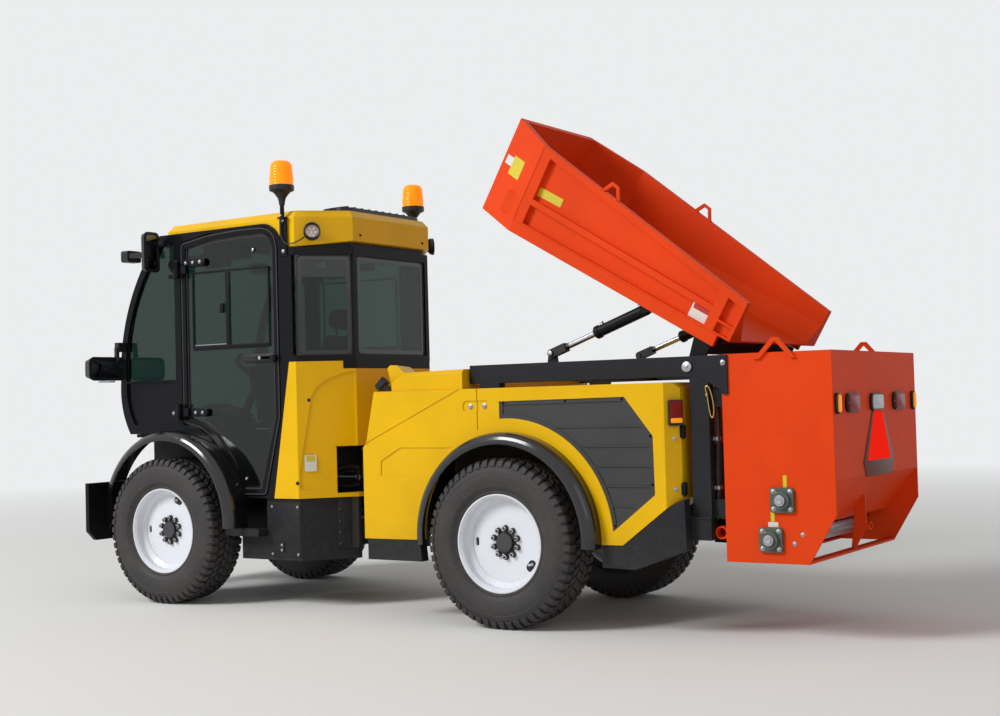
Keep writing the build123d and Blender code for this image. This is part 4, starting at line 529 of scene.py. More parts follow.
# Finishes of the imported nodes

nodeLooks = {
    "yellow": ["cab_body", "cab_roof", "engine_cover", "deck_cover"],
    "orange": ["hopper", "spreader_box"],
    "blackPaint": [
        "floor_pan", "rear_frame", "front_frame", "tool_plate",
        "tipping_frame", "tip_barrel_left", "tip_barrel_right", "seat_base",
        "steering_barrel_left", "steering_barrel_right",
    ],
    "frame": ["cab_frame", "door_left", "door_right"],
    "bearingPaint": ["bearings"],
    "zinc": ["upper_rotor", "lower_rotor"],
    "railPaint": ["subframe", "cab_valances", "rear_valances"],
    "blackPlastic": ["mirrors", "filler_cap", "steering_column", "roof_fittings"],
    "blackGloss": ["front_mudguards", "rear_mudguards", "door_mudguard_left", "door_mudguard_right"],
    "wheelPaint": ["rim_front_left", "rim_front_right", "rim_rear_left", "rim_rear_right"],
    "rubber": ["tyre_front_left", "tyre_front_right", "tyre_rear_left", "tyre_rear_right"],
    "castIron": ["front_axle", "rear_axle", "engine"],
    "tipRod": ["tip_rod_left", "tip_rod_right"],
    "chrome": ["steering_rod_left", "steering_rod_right"],
    "cabGlass": ["windscreen", "side_glass", "rear_glass", "door_glass_left", "door_glass_right"],
    "amber": ["beacons"],
    "redLens": ["tail_lamps", "box_lamps", "rear_marker"],
    "screen": ["side_grilles"],
}
for look, members in nodeLooks.items():
    for member in members:
        nodes[member].data.materials.clear()
        nodes[member].data.materials.append(looks[look])
print("stage 3: packed nodes finished")


# Tyres

tyre = {
    "pitches": 54,
    "base": 0.4335,
    "top": 0.447,
    "sidewall": [
        (0.104, 0.2585), (0.1165, 0.262), (0.1215, 0.270), (0.1195, 0.276), (0.1265, 0.283), (0.1325, 0.297),
        (0.1345, 0.299), (0.1375, 0.312), (0.1405, 0.332), (0.1412, 0.352), (0.1402, 0.372), (0.1395, 0.374),
        (0.1405, 0.377), (0.1365, 0.396), (0.1310, 0.411), (0.1225, 0.4245), (0.1130, 0.4325),
    ],
    # row: middle across the tread, width, length along the tread, slant, start in the pitch
    "rows": [(0.0, 0.036, 0.040, 0.010, 0.0), (0.046, 0.038, 0.038, -0.012, 0.5), (-0.046, 0.038, 0.038, 0.012, 0.5)],
}


def treadBlock(middle, width, length, slant, turn):
    low, high = tyre["base"] - 0.003, tyre["top"] - 0.0004 - abs(middle) * 0.02
    size = (length, width, high - low)
    ops.mesh.primitive_cube_add(size=1, location=(0, middle, (low + high) / 2))
    piece = bpy.context.object
    piece.scale = size
    settle(piece)
    for point in piece.data.vertices:  # slanted ends, narrower at the top
        across = (point.co.y - middle) / width
        point.co.x += slant * across * 2
        if point.co.z > (low + high) / 2:
            point.co.x *= 0.94
    bevelled(piece, 0.0022, 1)
    piece.data.transform(Matrix.Rotation(turn, 4, "Y"))
    return piece


def shoulderBlock(side, turn):
    points = [
        (0, side * y, z) for y,
        z in [
            (0.079, 0.4300), (0.079, 0.4462), (0.112, 0.4452), (0.1285, 0.436), (0.1392, 0.414), (0.1392, 0.403),
            (0.118, 0.415)
        ]
    ]
    length = 0.033
    piece = plate("shoulderBlock", [(-length / 2, y, z) for x, y, z in points], (length, 0, 0), 0)
    bevelled(piece, 0.002, 1)
    piece.data.transform(Matrix.Rotation(turn, 4, "Y"))
    return piece


def makeTyre():
    half = tyre["sidewall"]
    profile = [(-along, radius) for along, radius in half] + [(along, radius) for along, radius in reversed(half)]
    carcass = lathe("carcass", profile, (0, 0, 0), (0, 1, 0), 96)
    pitch = 2 * math.pi / tyre["pitches"]
    parts = [treadBlock(*row[:4], row[4] * pitch) for row in tyre["rows"]]
    parts += [shoulderBlock(1, 0), shoulderBlock(-1, pitch / 2)]
    onePitch = joined("pitch", parts)
    ring = [onePitch] + [again(onePitch, Matrix.Rotation(pitch * i, 4, "Y")) for i in range(1, tyre["pitches"])]
    return joined("tyre", [carcass] + ring)


wheelPlaces = [
    ("front_left", frontAxle, 1),
    ("front_right", frontAxle, -1),
    ("rear_left", rearAxle, 1),
    ("rear_right", rearAxle, -1),
]
tyrePattern = makeTyre()
for name, along, side in wheelPlaces:
    spot = Matrix.Translation((along, side * halfTrack, axleHeight))
    turned = Matrix.Rotation(0.03 * len(name), 4, "Y")
    twin = again(tyrePattern, spot @ turned, "treadedTyre_" + name)
    keep(twin, "rubber", "wheel_" + name, 30, ["tyre_" + name])
bpy.data.objects.remove(tyrePattern)
print("stage 4: tyres")


# Wheel nuts

wheelNut = {"circle": 0.076, "across": 0.0148, "height": 0.020, "count": 10}


def makeWheelNuts():
    nut = rod("nut", (0, 0, 0), (0, wheelNut["height"], 0), wheelNut["across"], 6, 0.0018)
    washer = rod("washer", (0, 0, 0), (0, 0.0035, 0), 0.0165, 20)
    stud = rod("stud", (0, 0, 0), (0, 0.027, 0), 0.007, 12, 0.0012)
    cell = joined("nutCell", [nut, washer, stud])
    cell.data.transform(Matrix.Translation((0, 0, wheelNut["circle"])))
    step = 2 * math.pi / wheelNut["count"]
    cells = [cell] + [again(cell, Matrix.Rotation(step * i, 4, "Y")) for i in range(1, wheelNut["count"])]
    return joined("nuts", cells)


nutPattern = makeWheelNuts()
discFace = 0.042
for name, along, side in wheelPlaces:
    turn = Matrix.Translation(
        (along, side * (halfTrack + discFace), axleHeight)
    ) @ Matrix.Rotation(0 if side > 0 else math.pi, 4, "Z")
    nuts = again(nutPattern, turn, "wheelNuts_" + name)
    keep(nuts, "castIron", "wheel_" + name, 30)
bpy.data.objects.remove(nutPattern)
print("stage 5: wheel nuts")


# Places and small shapes that many pieces share


class Spot:  # a place on a face, with its directions across, up and out
    def __init__(self, centre, outward, upward=(0, 0, 1)):
        self.centre = Vector(centre)
        self.out = Vector(outward).normalized()
        self.across = Vector(upward).cross(self.out).normalized()
        self.up = self.out.cross(self.across)

    def point(self, across=0.0, up=0.0, out=0.0):
        return self.centre + self.across * across + self.up * up + self.out * out

    def matrix(self):
        return Matrix.Translation(self.centre) @ Matrix((self.across, self.up, self.out)).transposed().to_4x4()


def rounded(width, height, radius, steps=5):  # the outline of a rounded rectangle
    outline = []
    for turn, (sideways, upwards) in enumerate([(1, 1), (-1, 1), (-1, -1), (1, -1)]):
        for step in range(steps + 1):
            angle = math.pi / 2 * (turn + step / steps)
            outline.append((
                sideways * (width / 2 - radius) + radius * math.cos(angle),
                upwards * (height / 2 - radius) + radius * math.sin(angle),
            ))
    return outline


def filleted(corners, steps=6):  # corners: across, up, radius
    outline = []
    count = len(corners)
    for index, (x, z, radius) in enumerate(corners):
        here = Vector((x, z))
        back = Vector(corners[index - 1][:2]) - here
        on = Vector(corners[(index + 1) % count][:2]) - here
        turn = math.pi - back.angle(on)
        reach = min(radius * math.tan(turn / 2), back.length * 0.49, on.length * 0.49)
        start, stop = here + back.normalized() * reach, here + on.normalized() * reach
        for step in range(steps + 1):
            share = step / steps
            first, second = start.lerp(here, share), here.lerp(stop, share)
            outline.append(tuple(first.lerp(second, share)))
    return outline


def tile(name, spot, outline, low, high, bevel=0.0015):  # an outline on a face, pushed out from low to high
    return plate(name, [spot.point(across, up, low) for across, up in outline], spot.out * (high - low), bevel)


def ring(name, spot, outline, width, low, high):
    piece = chain(name, [spot.point(across, up, low) for across, up in outline])
    ops.mesh.select_all(action="SELECT")
    ops.mesh.edge_face_add()
    ops.mesh.inset(thickness=width)
    ops.mesh.delete(type="FACE")
    ops.mesh.select_all(action="SELECT")
    ops.mesh.extrude_region_move(TRANSFORM_OT_translate={"value": spot.out * (high - low)})
    ops.mesh.select_all(action="SELECT")
    ops.mesh.normals_make_consistent(inside=False)
    ops.object.mode_set(mode="OBJECT")
    return piece


def chooseFace(piece, direction):  # the largest face that looks that way, ready in edit mode
    looking = [(face.area, face.index) for face in piece.data.polygons if face.normal.dot(Vector(direction)) > 0.99]
    chosen = max(looking)[1]
    pick(piece)
    ops.object.mode_set(mode="EDIT")
    ops.mesh.select_mode(type="FACE")
    ops.mesh.select_all(action="DESELECT")
    ops.object.mode_set(mode="OBJECT")
    piece.data.polygons[chosen].select = True
    ops.object.mode_set(mode="EDIT")


def sunk(piece, direction, margin, depth):  # the face is inset and pushed in
    chooseFace(piece, direction)
    ops.mesh.inset(thickness=margin)
    ops.mesh.extrude_region_move(TRANSFORM_OT_translate={"value": Vector(direction) * -depth})
    ops.mesh.select_mode(type="VERT")
    ops.object.mode_set(mode="OBJECT")
    return piece


fastener = {
    # kind: washer radius and height, head radius, height, sides
    "hex": (1.35, 0.18, 1.0, 0.62, 6),
    "dome": (1.25, 0.12, 1.0, 0.55, 20),
    "cap": (0.0, 0.0, 1.0, 0.8, 18),
}


def makeBolt(kind, radius):
    washer, washerHigh, head, headHigh, sides = fastener[kind]
    low = washerHigh * radius
    parts = [
        rod(
            "head", (0, 0, low), (0, 0, low + headHigh * radius), head * radius, sides,
            radius * (0.3 if kind == "dome" else 0.12)
        )
    ]
    if washer:
        parts.append(rod("washer", (0, 0, -0.001), (0, 0, low), washer * radius, 20, radius * 0.05))
    if kind == "hex":
        parts.append(rod("end", (0, 0, low), (0, 0, low + radius * 0.95), radius * 0.5, 12, radius * 0.1))
    else:
        sunk(parts[0], (0, 0, 1), radius * 0.42, radius * 0.25)
    return joined("bolt", parts)


def bolts(name, body, look, kind, radius, spots):  # spots: place, outward
    pattern = makeBolt(kind, radius)
    copies = [again(pattern, Spot(place, outward, (0.13, 0.31, 1)).matrix()) for place, outward in spots]
    bpy.data.objects.remove(pattern)
    return keep(joined(name, copies), look, body, 30)


def bothOf(spots):
    return spots + [((x, -y, z), (a, -b, c)) for (x, y, z), (a, b, c) in spots]


def lookPieces(name, pieces, look, body, smooth=35, replaced=()):
    return keep(joined(name, pieces), look, body, smooth, replaced)


cornerTurn = (0.236, 0.270)  # how far a cut corner of the cab runs back and in
cornerLength = math.hypot(*cornerTurn)


def onCorner(side, along, height, out=0.0):  # a place on the cut corner of the cab
    back, across = cornerTurn[0] / cornerLength, cornerTurn[1] / cornerLength
    outward = (-across, side * back, 0)
    spot = Spot((0.760 - back * along, side * (0.640 - across * along), height), outward)
    spot.centre = spot.centre + spot.out * out
    return spot


hopperTilt = math.radians(30)
hopperPin = (-1.760, 1.336)


def onHopper(along, across, up):  # a place measured along the raised floor of the hopper
    return Vector((
        hopperPin[0] + along * math.cos(hopperTilt) - up * math.sin(hopperTilt),
        across,
        hopperPin[1] + along * math.sin(hopperTilt) + up * math.cos(hopperTilt),
    ))


hopperUp = Vector((-math.sin(hopperTilt), 0, math.cos(hopperTilt)))
hopperAlong = Vector((math.cos(hopperTilt), 0, math.sin(hopperTilt)))


# Beacons, work lamps and front lamps

beacon = {
    "x": 0.832,
    "y": 0.650,
    "base": 2.425,
    "foot": [
        (-0.040, 0.0), (-0.040, 0.017), (-0.020, 0.019), (0.000, 0.024), (0.020, 0.038), (0.036, 0.052),
        (0.041, 0.066), (0.046, 0.0735), (0.074, 0.0745), (0.077, 0.070), (0.077, 0.0)
    ],
    "dome": [
        (0.074, 0.0), (0.074, 0.0710), (0.112, 0.0705), (0.1125, 0.0722), (0.119, 0.0722), (0.1195, 0.0700),
        (0.165, 0.0672), (0.196, 0.0640), (0.211, 0.0560), (0.2205, 0.0400), (0.2245, 0.018), (0.225, 0.0)
    ],
}
feet, domes = [], []
for side in (1, -1):
    centre = (beacon["x"], side * beacon["y"], beacon["base"])
    feet.append(lathe("foot", beacon["foot"], centre, (0, 0, 1), 48))
    domes.append(lathe("dome", beacon["dome"], centre, (0, 0, 1), 64))
lookPieces("beaconBases", feet, "blackPlastic", "front_module", 30)
lookPieces("beaconDomes", domes, "amber", "front_module", 40, ["beacons"])
bolts("beaconNuts", "front_module", "zinc", "hex", 0.008, bothOf([
    ((0.832, 0.6645, 2.318), (0, 0, 1)),
    ((0.832, 0.6485, 2.2945), (0, 1, 0)),
    ((0.832, 0.6485, 2.110), (0, 1, 0)),
]))

workLamp = {"place": (0.6477, 0.6002, 2.212), "facing": (-0.7186, 0.6956, 0), "ledCircle": 0.024}
rims, dishes, leds = [], [], []
for side in (1, -1):
    place, facing = workLamp["place"], workLamp["facing"]
    spot = Spot((place[0], side * place[1], place[2]), (facing[0], side * facing[1], 0))
    dishes.append(
        lathe(
            "dish", [(0.0002, 0.0), (0.0002, 0.0435), (0.0032, 0.0435), (0.0015, 0.041), (0.0015, 0.0)], spot.centre,
            spot.out, 48
        )
    )
    rims.append(
        lathe(
            "rim",
            [
                (-0.030, 0.0), (-0.030, 0.030), (-0.012, 0.046), (0.0, 0.0500), (0.0098, 0.0500), (0.0098, 0.0465),
                (0.0066, 0.0430), (0.0, 0.0430), (0.0, 0.0)
            ],
            spot.centre, spot.out, 48
        )
    )
    for step in range(7):
        angle = step * math.pi / 3
        reach = 0 if step == 6 else workLamp["ledCircle"]
        middle = spot.point(reach * math.cos(angle), reach * math.sin(angle))
        leds.append(
            lathe(
                "led",
                [
                    (0.0014, 0.0), (0.0014, 0.0105), (0.0040, 0.0098), (0.0045, 0.0075), (0.0062, 0.0050),
                    (0.0068, 0.0)
                ],
                middle, spot.out, 20
            )
        )
lookPieces("workLampDishes", dishes, "lampReflector", "front_module")
lookPieces("workLampRims", rims, "blackPlastic", "front_module")
lookPieces("workLampLenses", leds, "clearLens", "front_module", 40)

frontLamp = {"x": 2.205, "y": 0.600, "z": 2.183, "width": 0.100, "height": 0.058}
faces, eyes = [], []
for side in (1, -1):
    spot = Spot((frontLamp["x"], side * frontLamp["y"], frontLamp["z"]), (1, 0, 0))
    faces.append(
        sunk(
            tile("face", spot, rounded(frontLamp["width"], frontLamp["height"], 0.010), -0.004, 0.0015), (1, 0, 0),
            0.006, 0.003
        )
    )
    for across in (-0.030, 0.0, 0.030):
        eyes.append(
            lathe(
                "eye", [(-0.0015, 0.0), (-0.0015, 0.0135), (0.0005, 0.0125), (0.0015, 0.008), (0.0018, 0.0)],
                spot.point(across), spot.out, 24
            )
        )
lookPieces("frontLampFaces", faces, "zinc", "front_module")
lookPieces("frontLampLenses", eyes, "clearLens", "front_module", 40)
print("stage 6: lamps and beacons")


# Mirrors: the glass in each head

mirrorHeads = [
    # x, y, z, width, height, corner radius
    (2.1975, 0.790, 1.462, 0.262, 0.112, 0.028),
    (1.8345, 0.740, 2.178, 0.096, 0.214, 0.024),
]
glasses, lips = [], []
for side in (1, -1):
    for x, y, z, wide, high, corner in mirrorHeads:
        spot = Spot((x, side * y, z), (-1, 0, 0))
        glasses.append(tile("mirror", spot, rounded(wide, high, corner), -0.0005, 0.0015, 0.0006))
        lips.append(ring("lip", spot, rounded(wide + 0.014, high + 0.014, corner + 0.007), 0.008, -0.0005, 0.003))
lookPieces("mirrorGlasses", glasses, "mirrorGlass", "front_module")
lookPieces("mirrorLips", lips, "blackPlastic", "front_module")
knuckles = [
    rod("knuckle", (2.213, 0.700, 1.512), (2.213, 0.700, 1.536), 0.024, 24, 0.004),
    rod("knuckle", (1.825, 0.672, 2.222), (1.825, 0.672, 2.252), 0.026, 24, 0.005)
]
keep(bothSides("mirrorKnuckles", joined("knuckles", knuckles)), "blackPlastic", "front_module")
marker = tile(
    "sideLamp", Spot((2.213, 0.790, 1.386), (0, 0, -1), (1, 0, 0)), rounded(0.060, 0.110, 0.012), -0.002, 0.012, 0.003
)
keep(bothSides("mirrorLamps", marker), "clearLens", "front_module", 40)


# Doors: seals, printed borders, sliding panes, hinge straps, handle and lock

doorCorners = [
    # x, height, radius, measured at the ring's outer edge
    (1.690, 1.108, 0.006), (1.690, 2.226, 0.040), (1.443, 2.264, 0.9), (1.213, 2.274, 0.9), (0.890, 2.272, 0.150),
    (0.890, 1.130, 0.120), (1.013, 0.668, 0.030), (1.228, 0.668, 0.030), (1.321, 0.865, 0.100),
    (1.443, 1.010, 0.100), (1.548, 1.075, 0.100),
]
doorTrim = {
    "glass": 0.624, "border": 0.036, "print": 0.020, "seal": 0.009, "hinge": (1.17, 2.10), "face": 0.640,
    "boltFace": 0.6473, "glassBolts": [(1.089, 2.141), (1.179, 0.765)]
}
slider = {"front": 1.606, "rear": 0.966, "low": 1.552, "high": 2.040, "divider": 1.306, "frame": 0.013}


def inward(corners, amount):  # the outline moved in by the ring's width, about its middle
    moved = []
    count = len(corners)
    for index, (x, z, radius) in enumerate(corners):
        here = Vector((x, z))
        back = (Vector(corners[index - 1][:2]) - here).normalized()
        on = (Vector(corners[(index + 1) % count][:2]) - here).normalized()
        normalBack, normalOn = Vector((back.y, -back.x)), Vector((-on.y, on.x))
        bisector = (normalBack + normalOn).normalized()
        reach = amount / max(bisector.dot(normalOn), 0.4)
        moved.append((x + bisector.x * reach, z + bisector.y * reach, max(radius - amount, 0.006)))
    return moved


def dressDoor(side, body):
    spot = Spot((0, side * doorTrim["glass"], 0), (0, side, 0))
    flip = -1 if side > 0 else 1  # across runs backwards on the left

    def outlineAt(amount):
        return filleted([(flip * x, z, radius) for x, z, radius in inward(doorCorners, amount)])

    keep(
        ring("doorPrint", spot, outlineAt(doorTrim["border"]), doorTrim["print"], 0.0001, 0.0006), "blackGloss", body,
        20
    ).name = "printedBorder_" + body
    keep(
        ring("doorSeal", spot, outlineAt(doorTrim["border"] - 0.001), doorTrim["seal"], 0.0004, 0.006), "rubber",
        body, 20
    ).name = "glassSeal_" + body
    keep(
        ring("gapSeal", Spot((0, side * doorTrim["face"], 0), (0, side, 0)), outlineAt(0.004), 0.006, -0.012, 0.0012),
        "rubber", body, 20
    ).name = "edgeSeal_" + body
    wide, high = slider["front"] - slider["rear"], slider["high"] - slider["low"]
    middle = Spot(
        ((slider["front"] + slider["rear"]) / 2, side * doorTrim["glass"], (slider["low"] + slider["high"]) / 2),
        (0, side, 0)
    )
    frames = [ring("sliderFrame", middle, rounded(wide, high, 0.018), slider["frame"], 0.0005, 0.007)]
    post = Spot((slider["divider"], side * doorTrim["glass"], middle.centre.z), (0, side, 0))
    frames.append(tile("post", post, rounded(0.030, high - 0.02, 0.004), 0.0005, 0.0085))
    rail = Spot((middle.centre.x, side * doorTrim["glass"], slider["low"] + 0.020), (0, side, 0))
    frames.append(tile("rail", rail, rounded(wide - 0.02, 0.016, 0.004), 0.0005, 0.009))
    catch = Spot((1.352, side * doorTrim["glass"], 1.806), (0, side, 0))
    frames.append(tile("catch", catch, rounded(0.030, 0.058, 0.006), 0.0005, 0.016, 0.003))
    lookPieces("sliderFrame_" + body, frames, "blackPaint", body)
    edge = Spot((1.455, side * doorTrim["glass"], slider["low"] + 0.0335), (0, side, 0))
    keep(tile("sliderEdge_" + body, edge, rounded(0.27, 0.004, 0.001), 0.0006, 0.0045, 0), "zinc", body)
    straps = []
    for level in doorTrim["hinge"]:
        strap = Spot((1.576, side * doorTrim["face"], level), (0, side, 0))
        straps.append(tile("strap", strap, rounded(0.196, 0.050, 0.022), -0.014, 0.0075, 0.002))
    beam = Spot((1.40, side * 0.604, 2.122), (0, side, 0))
    straps.append(tile("beam", beam, rounded(0.53, 0.050, 0.01), -0.008, 0.002))
    lookPieces("hingeStraps_" + body, straps, "blackPaint", body)
    spots = [
        (
            (x, side * doorTrim["boltFace"], level), (0, side, 0)
        ) for level in doorTrim["hinge"] for x in (1.520, 1.580, 1.640)
    ]
    bolts("hingeBolts_" + body, body, "zinc", "dome", 0.0085, spots)
    for kind, look, radius, y in (
        ("glassBolts_", "blackPaint", 0.0135, 0.6242), ("glassBoltCaps_", "chrome", 0.0075, 0.6325)
    ):
        bolts(
            kind + body, body, look, "dome", radius,
            [((x, side * y, z), (0, side, 0)) for x, z in doorTrim["glassBolts"]]
        )
    handle = Spot((1.045, side * 0.652, 1.486), (0, side, 0))
    case = tile("handleCase", handle, rounded(0.262, 0.054, 0.024), -0.026, 0.004, 0.003)
    lever = tile(
        "lever", Spot((1.045, side * 0.656, 1.486), (0, side, 0)),
        filleted([(-0.120, -0.015, 0.013), (0.122, -0.018, 0.016), (0.122, 0.018, 0.016), (-0.120, 0.013, 0.012)]),
        0.002, 0.0155, 0.004
    )
    lookPieces("handle_" + body, [case, sunk(lever, (0, side, 0), 0.004, 0.0015)], "blackPlastic", body)
    lock = Spot((1.020, side * 0.670, 1.487), (0, side, 0))
    barrel = lathe(
        "lock_" + body, [(-0.004, 0.0), (-0.004, 0.0105), (0.0012, 0.0105), (0.0022, 0.0095), (0.0022, 0.0)],
        lock.centre, lock.out, 28
    )
    keep(barrel, "chrome", body, 40)
    keep(tile("keySlot_" + body, lock, rounded(0.0016, 0.010, 0.0005, 2), 0.0020, 0.0026, 0), "blackPlastic", body)


dressDoor(1, "door_left")
dressDoor(-1, "door_right")
arms = []
for level in doorTrim["hinge"]:
    arms.append(
        tile(
            "arm", Spot((1.748, doorTrim["face"], level), (0, 1, 0)), rounded(0.078, 0.056, 0.016), -0.004, 0.0075,
            0.002
        )
    )
keep(bothSides("frameStraps", joined("arms", arms)), "blackPaint", "front_module")
bolts(
    "frameStrapBolts", "front_module", "zinc", "dome", 0.0085,
    bothOf([((1.768, doorTrim["boltFace"], level), (0, 1, 0)) for level in doorTrim["hinge"]])
)
print("stage 7: mirrors and doors")


# Cab: printed borders on the rear panes, roof bolts, corner bolts and blank labels

rearPane = {"low": 1.494, "high": 2.083, "inset": 0.0137}
prints = []
for side in (1, -1):
    corner = onCorner(side, 0.178, (rearPane["low"] + rearPane["high"]) / 2, -rearPane["inset"])
    prints.append(
        ring("cornerPrint", corner, rounded(0.318, rearPane["high"] - rearPane["low"], 0.03), 0.026, 0.0, 0.0008)
    )
rearFace = Spot((0.524 + 0.0137, 0, (rearPane["low"] + rearPane["high"]) / 2), (-1, 0, 0))
prints.append(
    ring("rearPrint", rearFace, rounded(0.664, rearPane["high"] - rearPane["low"], 0.03), 0.030, 0.0, 0.0008)
)
lookPieces("rearPanePrints", prints, "blackGloss", "front_module", 20)
seals = [
    ring("paneSeal", rearFace, rounded(0.672, rearPane["high"] - rearPane["low"] + 0.004, 0.03), 0.007, 0.0, 0.004)
]
for side in (1, -1):
    corner = onCorner(side, 0.178, (rearPane["low"] + rearPane["high"]) / 2, -rearPane["inset"])
    seals.append(
        ring(
            "cornerSeal", corner, rounded(0.324, rearPane["high"] - rearPane["low"] + 0.004, 0.03), 0.007, 0.0, 0.004
        )
    )
lookPieces("rearPaneSeals", seals, "rubber", "front_module", 20)
bolts(
    "roofBolts", "front_module", "blackPaint", "cap", 0.0075,
    [((0.5180, y, 2.206), (-1, 0, 0)) for y in (0.313, -0.313)]
)
cornerSpots = [
    onCorner(side, along, height) for side in (1, -1) for along, height in ((0.071, 1.228), (-0.006, 0.742))
]
bolts(
    "cornerBolts", "front_module", "castIron", "dome", 0.0085,
    [(tuple(spot.centre), tuple(spot.out)) for spot in cornerSpots]
)
keep(
    tile("cornerLabel", onCorner(1, 0.074, 0.857), rounded(0.072, 0.098, 0.006), 0.0001, 0.0008, 0), "labelWhite",
    "front_module"
)
keep(
    tile("cornerLabelSign", onCorner(1, 0.074, 0.884), rounded(0.050, 0.034, 0.003), 0.0007, 0.0012, 0),
    "labelYellow", "front_module"
)
wire = [
    (0.832, 0.6605, 2.335), (0.833, 0.668, 2.30), (0.845, 0.656, 2.26), (0.842, 0.654, 2.20), (0.815, 0.652, 2.155),
    (0.775, 0.646, 2.150), (0.735, 0.622, 2.165), (0.705, 0.592, 2.195), (0.686, 0.576, 2.222)
]
keep(tube("lampWire", wire, 0.0035), "rubber", "front_module", 40)
keep(again(bpy.data.objects["lampWire"], mirrored, "lampWireRight"), "rubber", "front_module", 40)

# Cab valances: access panels with latches, step treads with teeth, and the flange behind

step = {
    "level": 0.467, "teeth": 14, "toothStart": 1.040, "toothPitch": 0.0189, "rows": 3, "holes": 9, "holePitch": 0.0277
}
panels = []
panels.append(
    tile("panel", Spot((0.890, 0.6195, 0.462), (0, 1, 0)), rounded(0.236, 0.318, 0.008), 0.0, 0.0022, 0.0008)
)
panels.append(
    tile("latch", Spot((0.912, 0.6215, 0.360), (0, 1, 0)), rounded(0.030, 0.056, 0.005), 0.0, 0.006, 0.0015)
)
for index in range(step["teeth"]):
    tooth = Spot((step["toothStart"] + index * step["toothPitch"], 0.6955, step["level"]), (0, 0, 1), (1, 0, 0))
    panels.append(
        tile(
            "tooth", tooth, [(-0.0045, -0.0075), (0.0045, -0.0075), (0.0045, 0.0075), (-0.0045, 0.0075)], -0.001,
            0.008, 0.0012
        )
    )
for row in range(step["rows"]):
    for index in range(step["holes"]):
        hole = Spot((1.052 + index * step["holePitch"], 0.626 + row * 0.022, step["level"]), (0, 0, 1))
        panels.append(
            lathe(
                "collar", [(0.0, 0.0045), (0.0, 0.0085), (0.0035, 0.0070), (0.0035, 0.0045)], hole.centre, hole.out,
                14
            )
        )
keep(bothSides("stepTreads", joined("treads", panels)), "railPaint", "front_module", 30)
bolts("valanceBolts", "front_module", "zinc", "dome", 0.0065, bothOf([
    ((0.912, 0.6276, 0.375), (0, 1, 0)), ((0.912, 0.6276, 0.345), (0, 1, 0)),
    (
        (0.790, 0.6217, 0.600), (0, 1, 0)
    ), ((0.990, 0.6217, 0.600), (0, 1, 0)), ((0.790, 0.6217, 0.320), (0, 1, 0)), ((0.990, 0.6217, 0.320), (0, 1, 0)),
]))
flanges, gaps, flangeBolts = [], [], []
for side in (1, -1):
    flanges.append(
        tile("flange", onCorner(side, 0.270, 0.508, -0.020), rounded(0.080, 0.314, 0.004), 0.0, 0.011, 0.0015)
    )
    gaps.append(tile("gap", onCorner(side, 0.334, 0.508, -0.020), rounded(0.044, 0.318, 0.002), 0.0, 0.0015, 0))
    for height in (0.375, 0.442, 0.508, 0.575, 0.640):
        spot = onCorner(side, 0.245, height, -0.009)
        flangeBolts.append((tuple(spot.centre), tuple(spot.out)))
lookPieces("valanceFlanges", flanges, "railPaint", "front_module")
lookPieces("valanceGaps", gaps, "screen", "front_module", 0)
bolts("flangeBolts", "front_module", "blackPlastic", "hex", 0.0065, flangeBolts)
print("stage 8: cab trim")


# Engine cover: latches, hinges and tail lamps

chamferOut = (-0.734, 0.68, 0)
bolts(
    "latchBolts", "rear_module", "zinc", "dome", 0.0125,
    bothOf([((-0.513, 0.6952, 1.166), (0, 1, 0)), ((-0.603, 0.6952, 1.168), (0, 1, 0))])
)
bolts(
    "coverBolts", "rear_module", "zinc", "dome", 0.0085,
    bothOf([((-1.7000, 0.6625, 0.985), chamferOut), ((-1.7000, 0.6625, 0.735), chamferOut)])
)
grilleBolts = [(-0.722, 1.180), (-1.10, 1.184), (-1.43, 1.186), (-1.585, 1.000), (-1.590, 0.760), (-1.375, 0.552)]
bolts(
    "grilleBolts", "rear_module", "blackPaint", "dome", 0.006,
    bothOf([((x, 0.6962, z), (0, 1, 0)) for x, z in grilleBolts])
)
hinges = []
for level in (1.018, 0.736):
    hinges.append(block("hinge", (-1.726, 0.622, level), (0.020, 0.040, 0.060), 0.003))
    hinges.append(rod("hingePin", (-1.737, 0.640, level - 0.036), (-1.737, 0.640, level + 0.036), 0.008, 18, 0.002))
keep(bothSides("coverHinges", joined("hinges", hinges)), "blackPaint", "rear_module")

tailLamp = {"place": (-1.703, 0.659, 1.112), "width": 0.072, "height": 0.128}
for side in (1, -1):
    place = tailLamp["place"]
    spot = Spot((place[0], side * place[1], place[2]), (chamferOut[0], side * chamferOut[1], 0))
    case = sunk(
        tile("tailCase", spot, rounded(tailLamp["width"], tailLamp["height"], 0.008), 0.0003, 0.026, 0.002), spot.out,
        0.005, 0.004
    )
    tag = "left" if side > 0 else "right"
    keep(case, "blackPlastic", "rear_module", 35, ["tail_lamps"]).name = "tailCase_" + tag
    upper = Spot(spot.point(0, 0.016), spot.out)
    lower = Spot(spot.point(0, -0.038), spot.out)
    keep(
        tile("tailRed_" + tag, upper, rounded(0.060, 0.082, 0.006), 0.021, 0.031, 0.003), "redLens", "rear_module", 40
    )
    keep(
        tile("tailAmber_" + tag, lower, rounded(0.060, 0.024, 0.005), 0.021, 0.031, 0.003), "amber", "rear_module", 40
    )
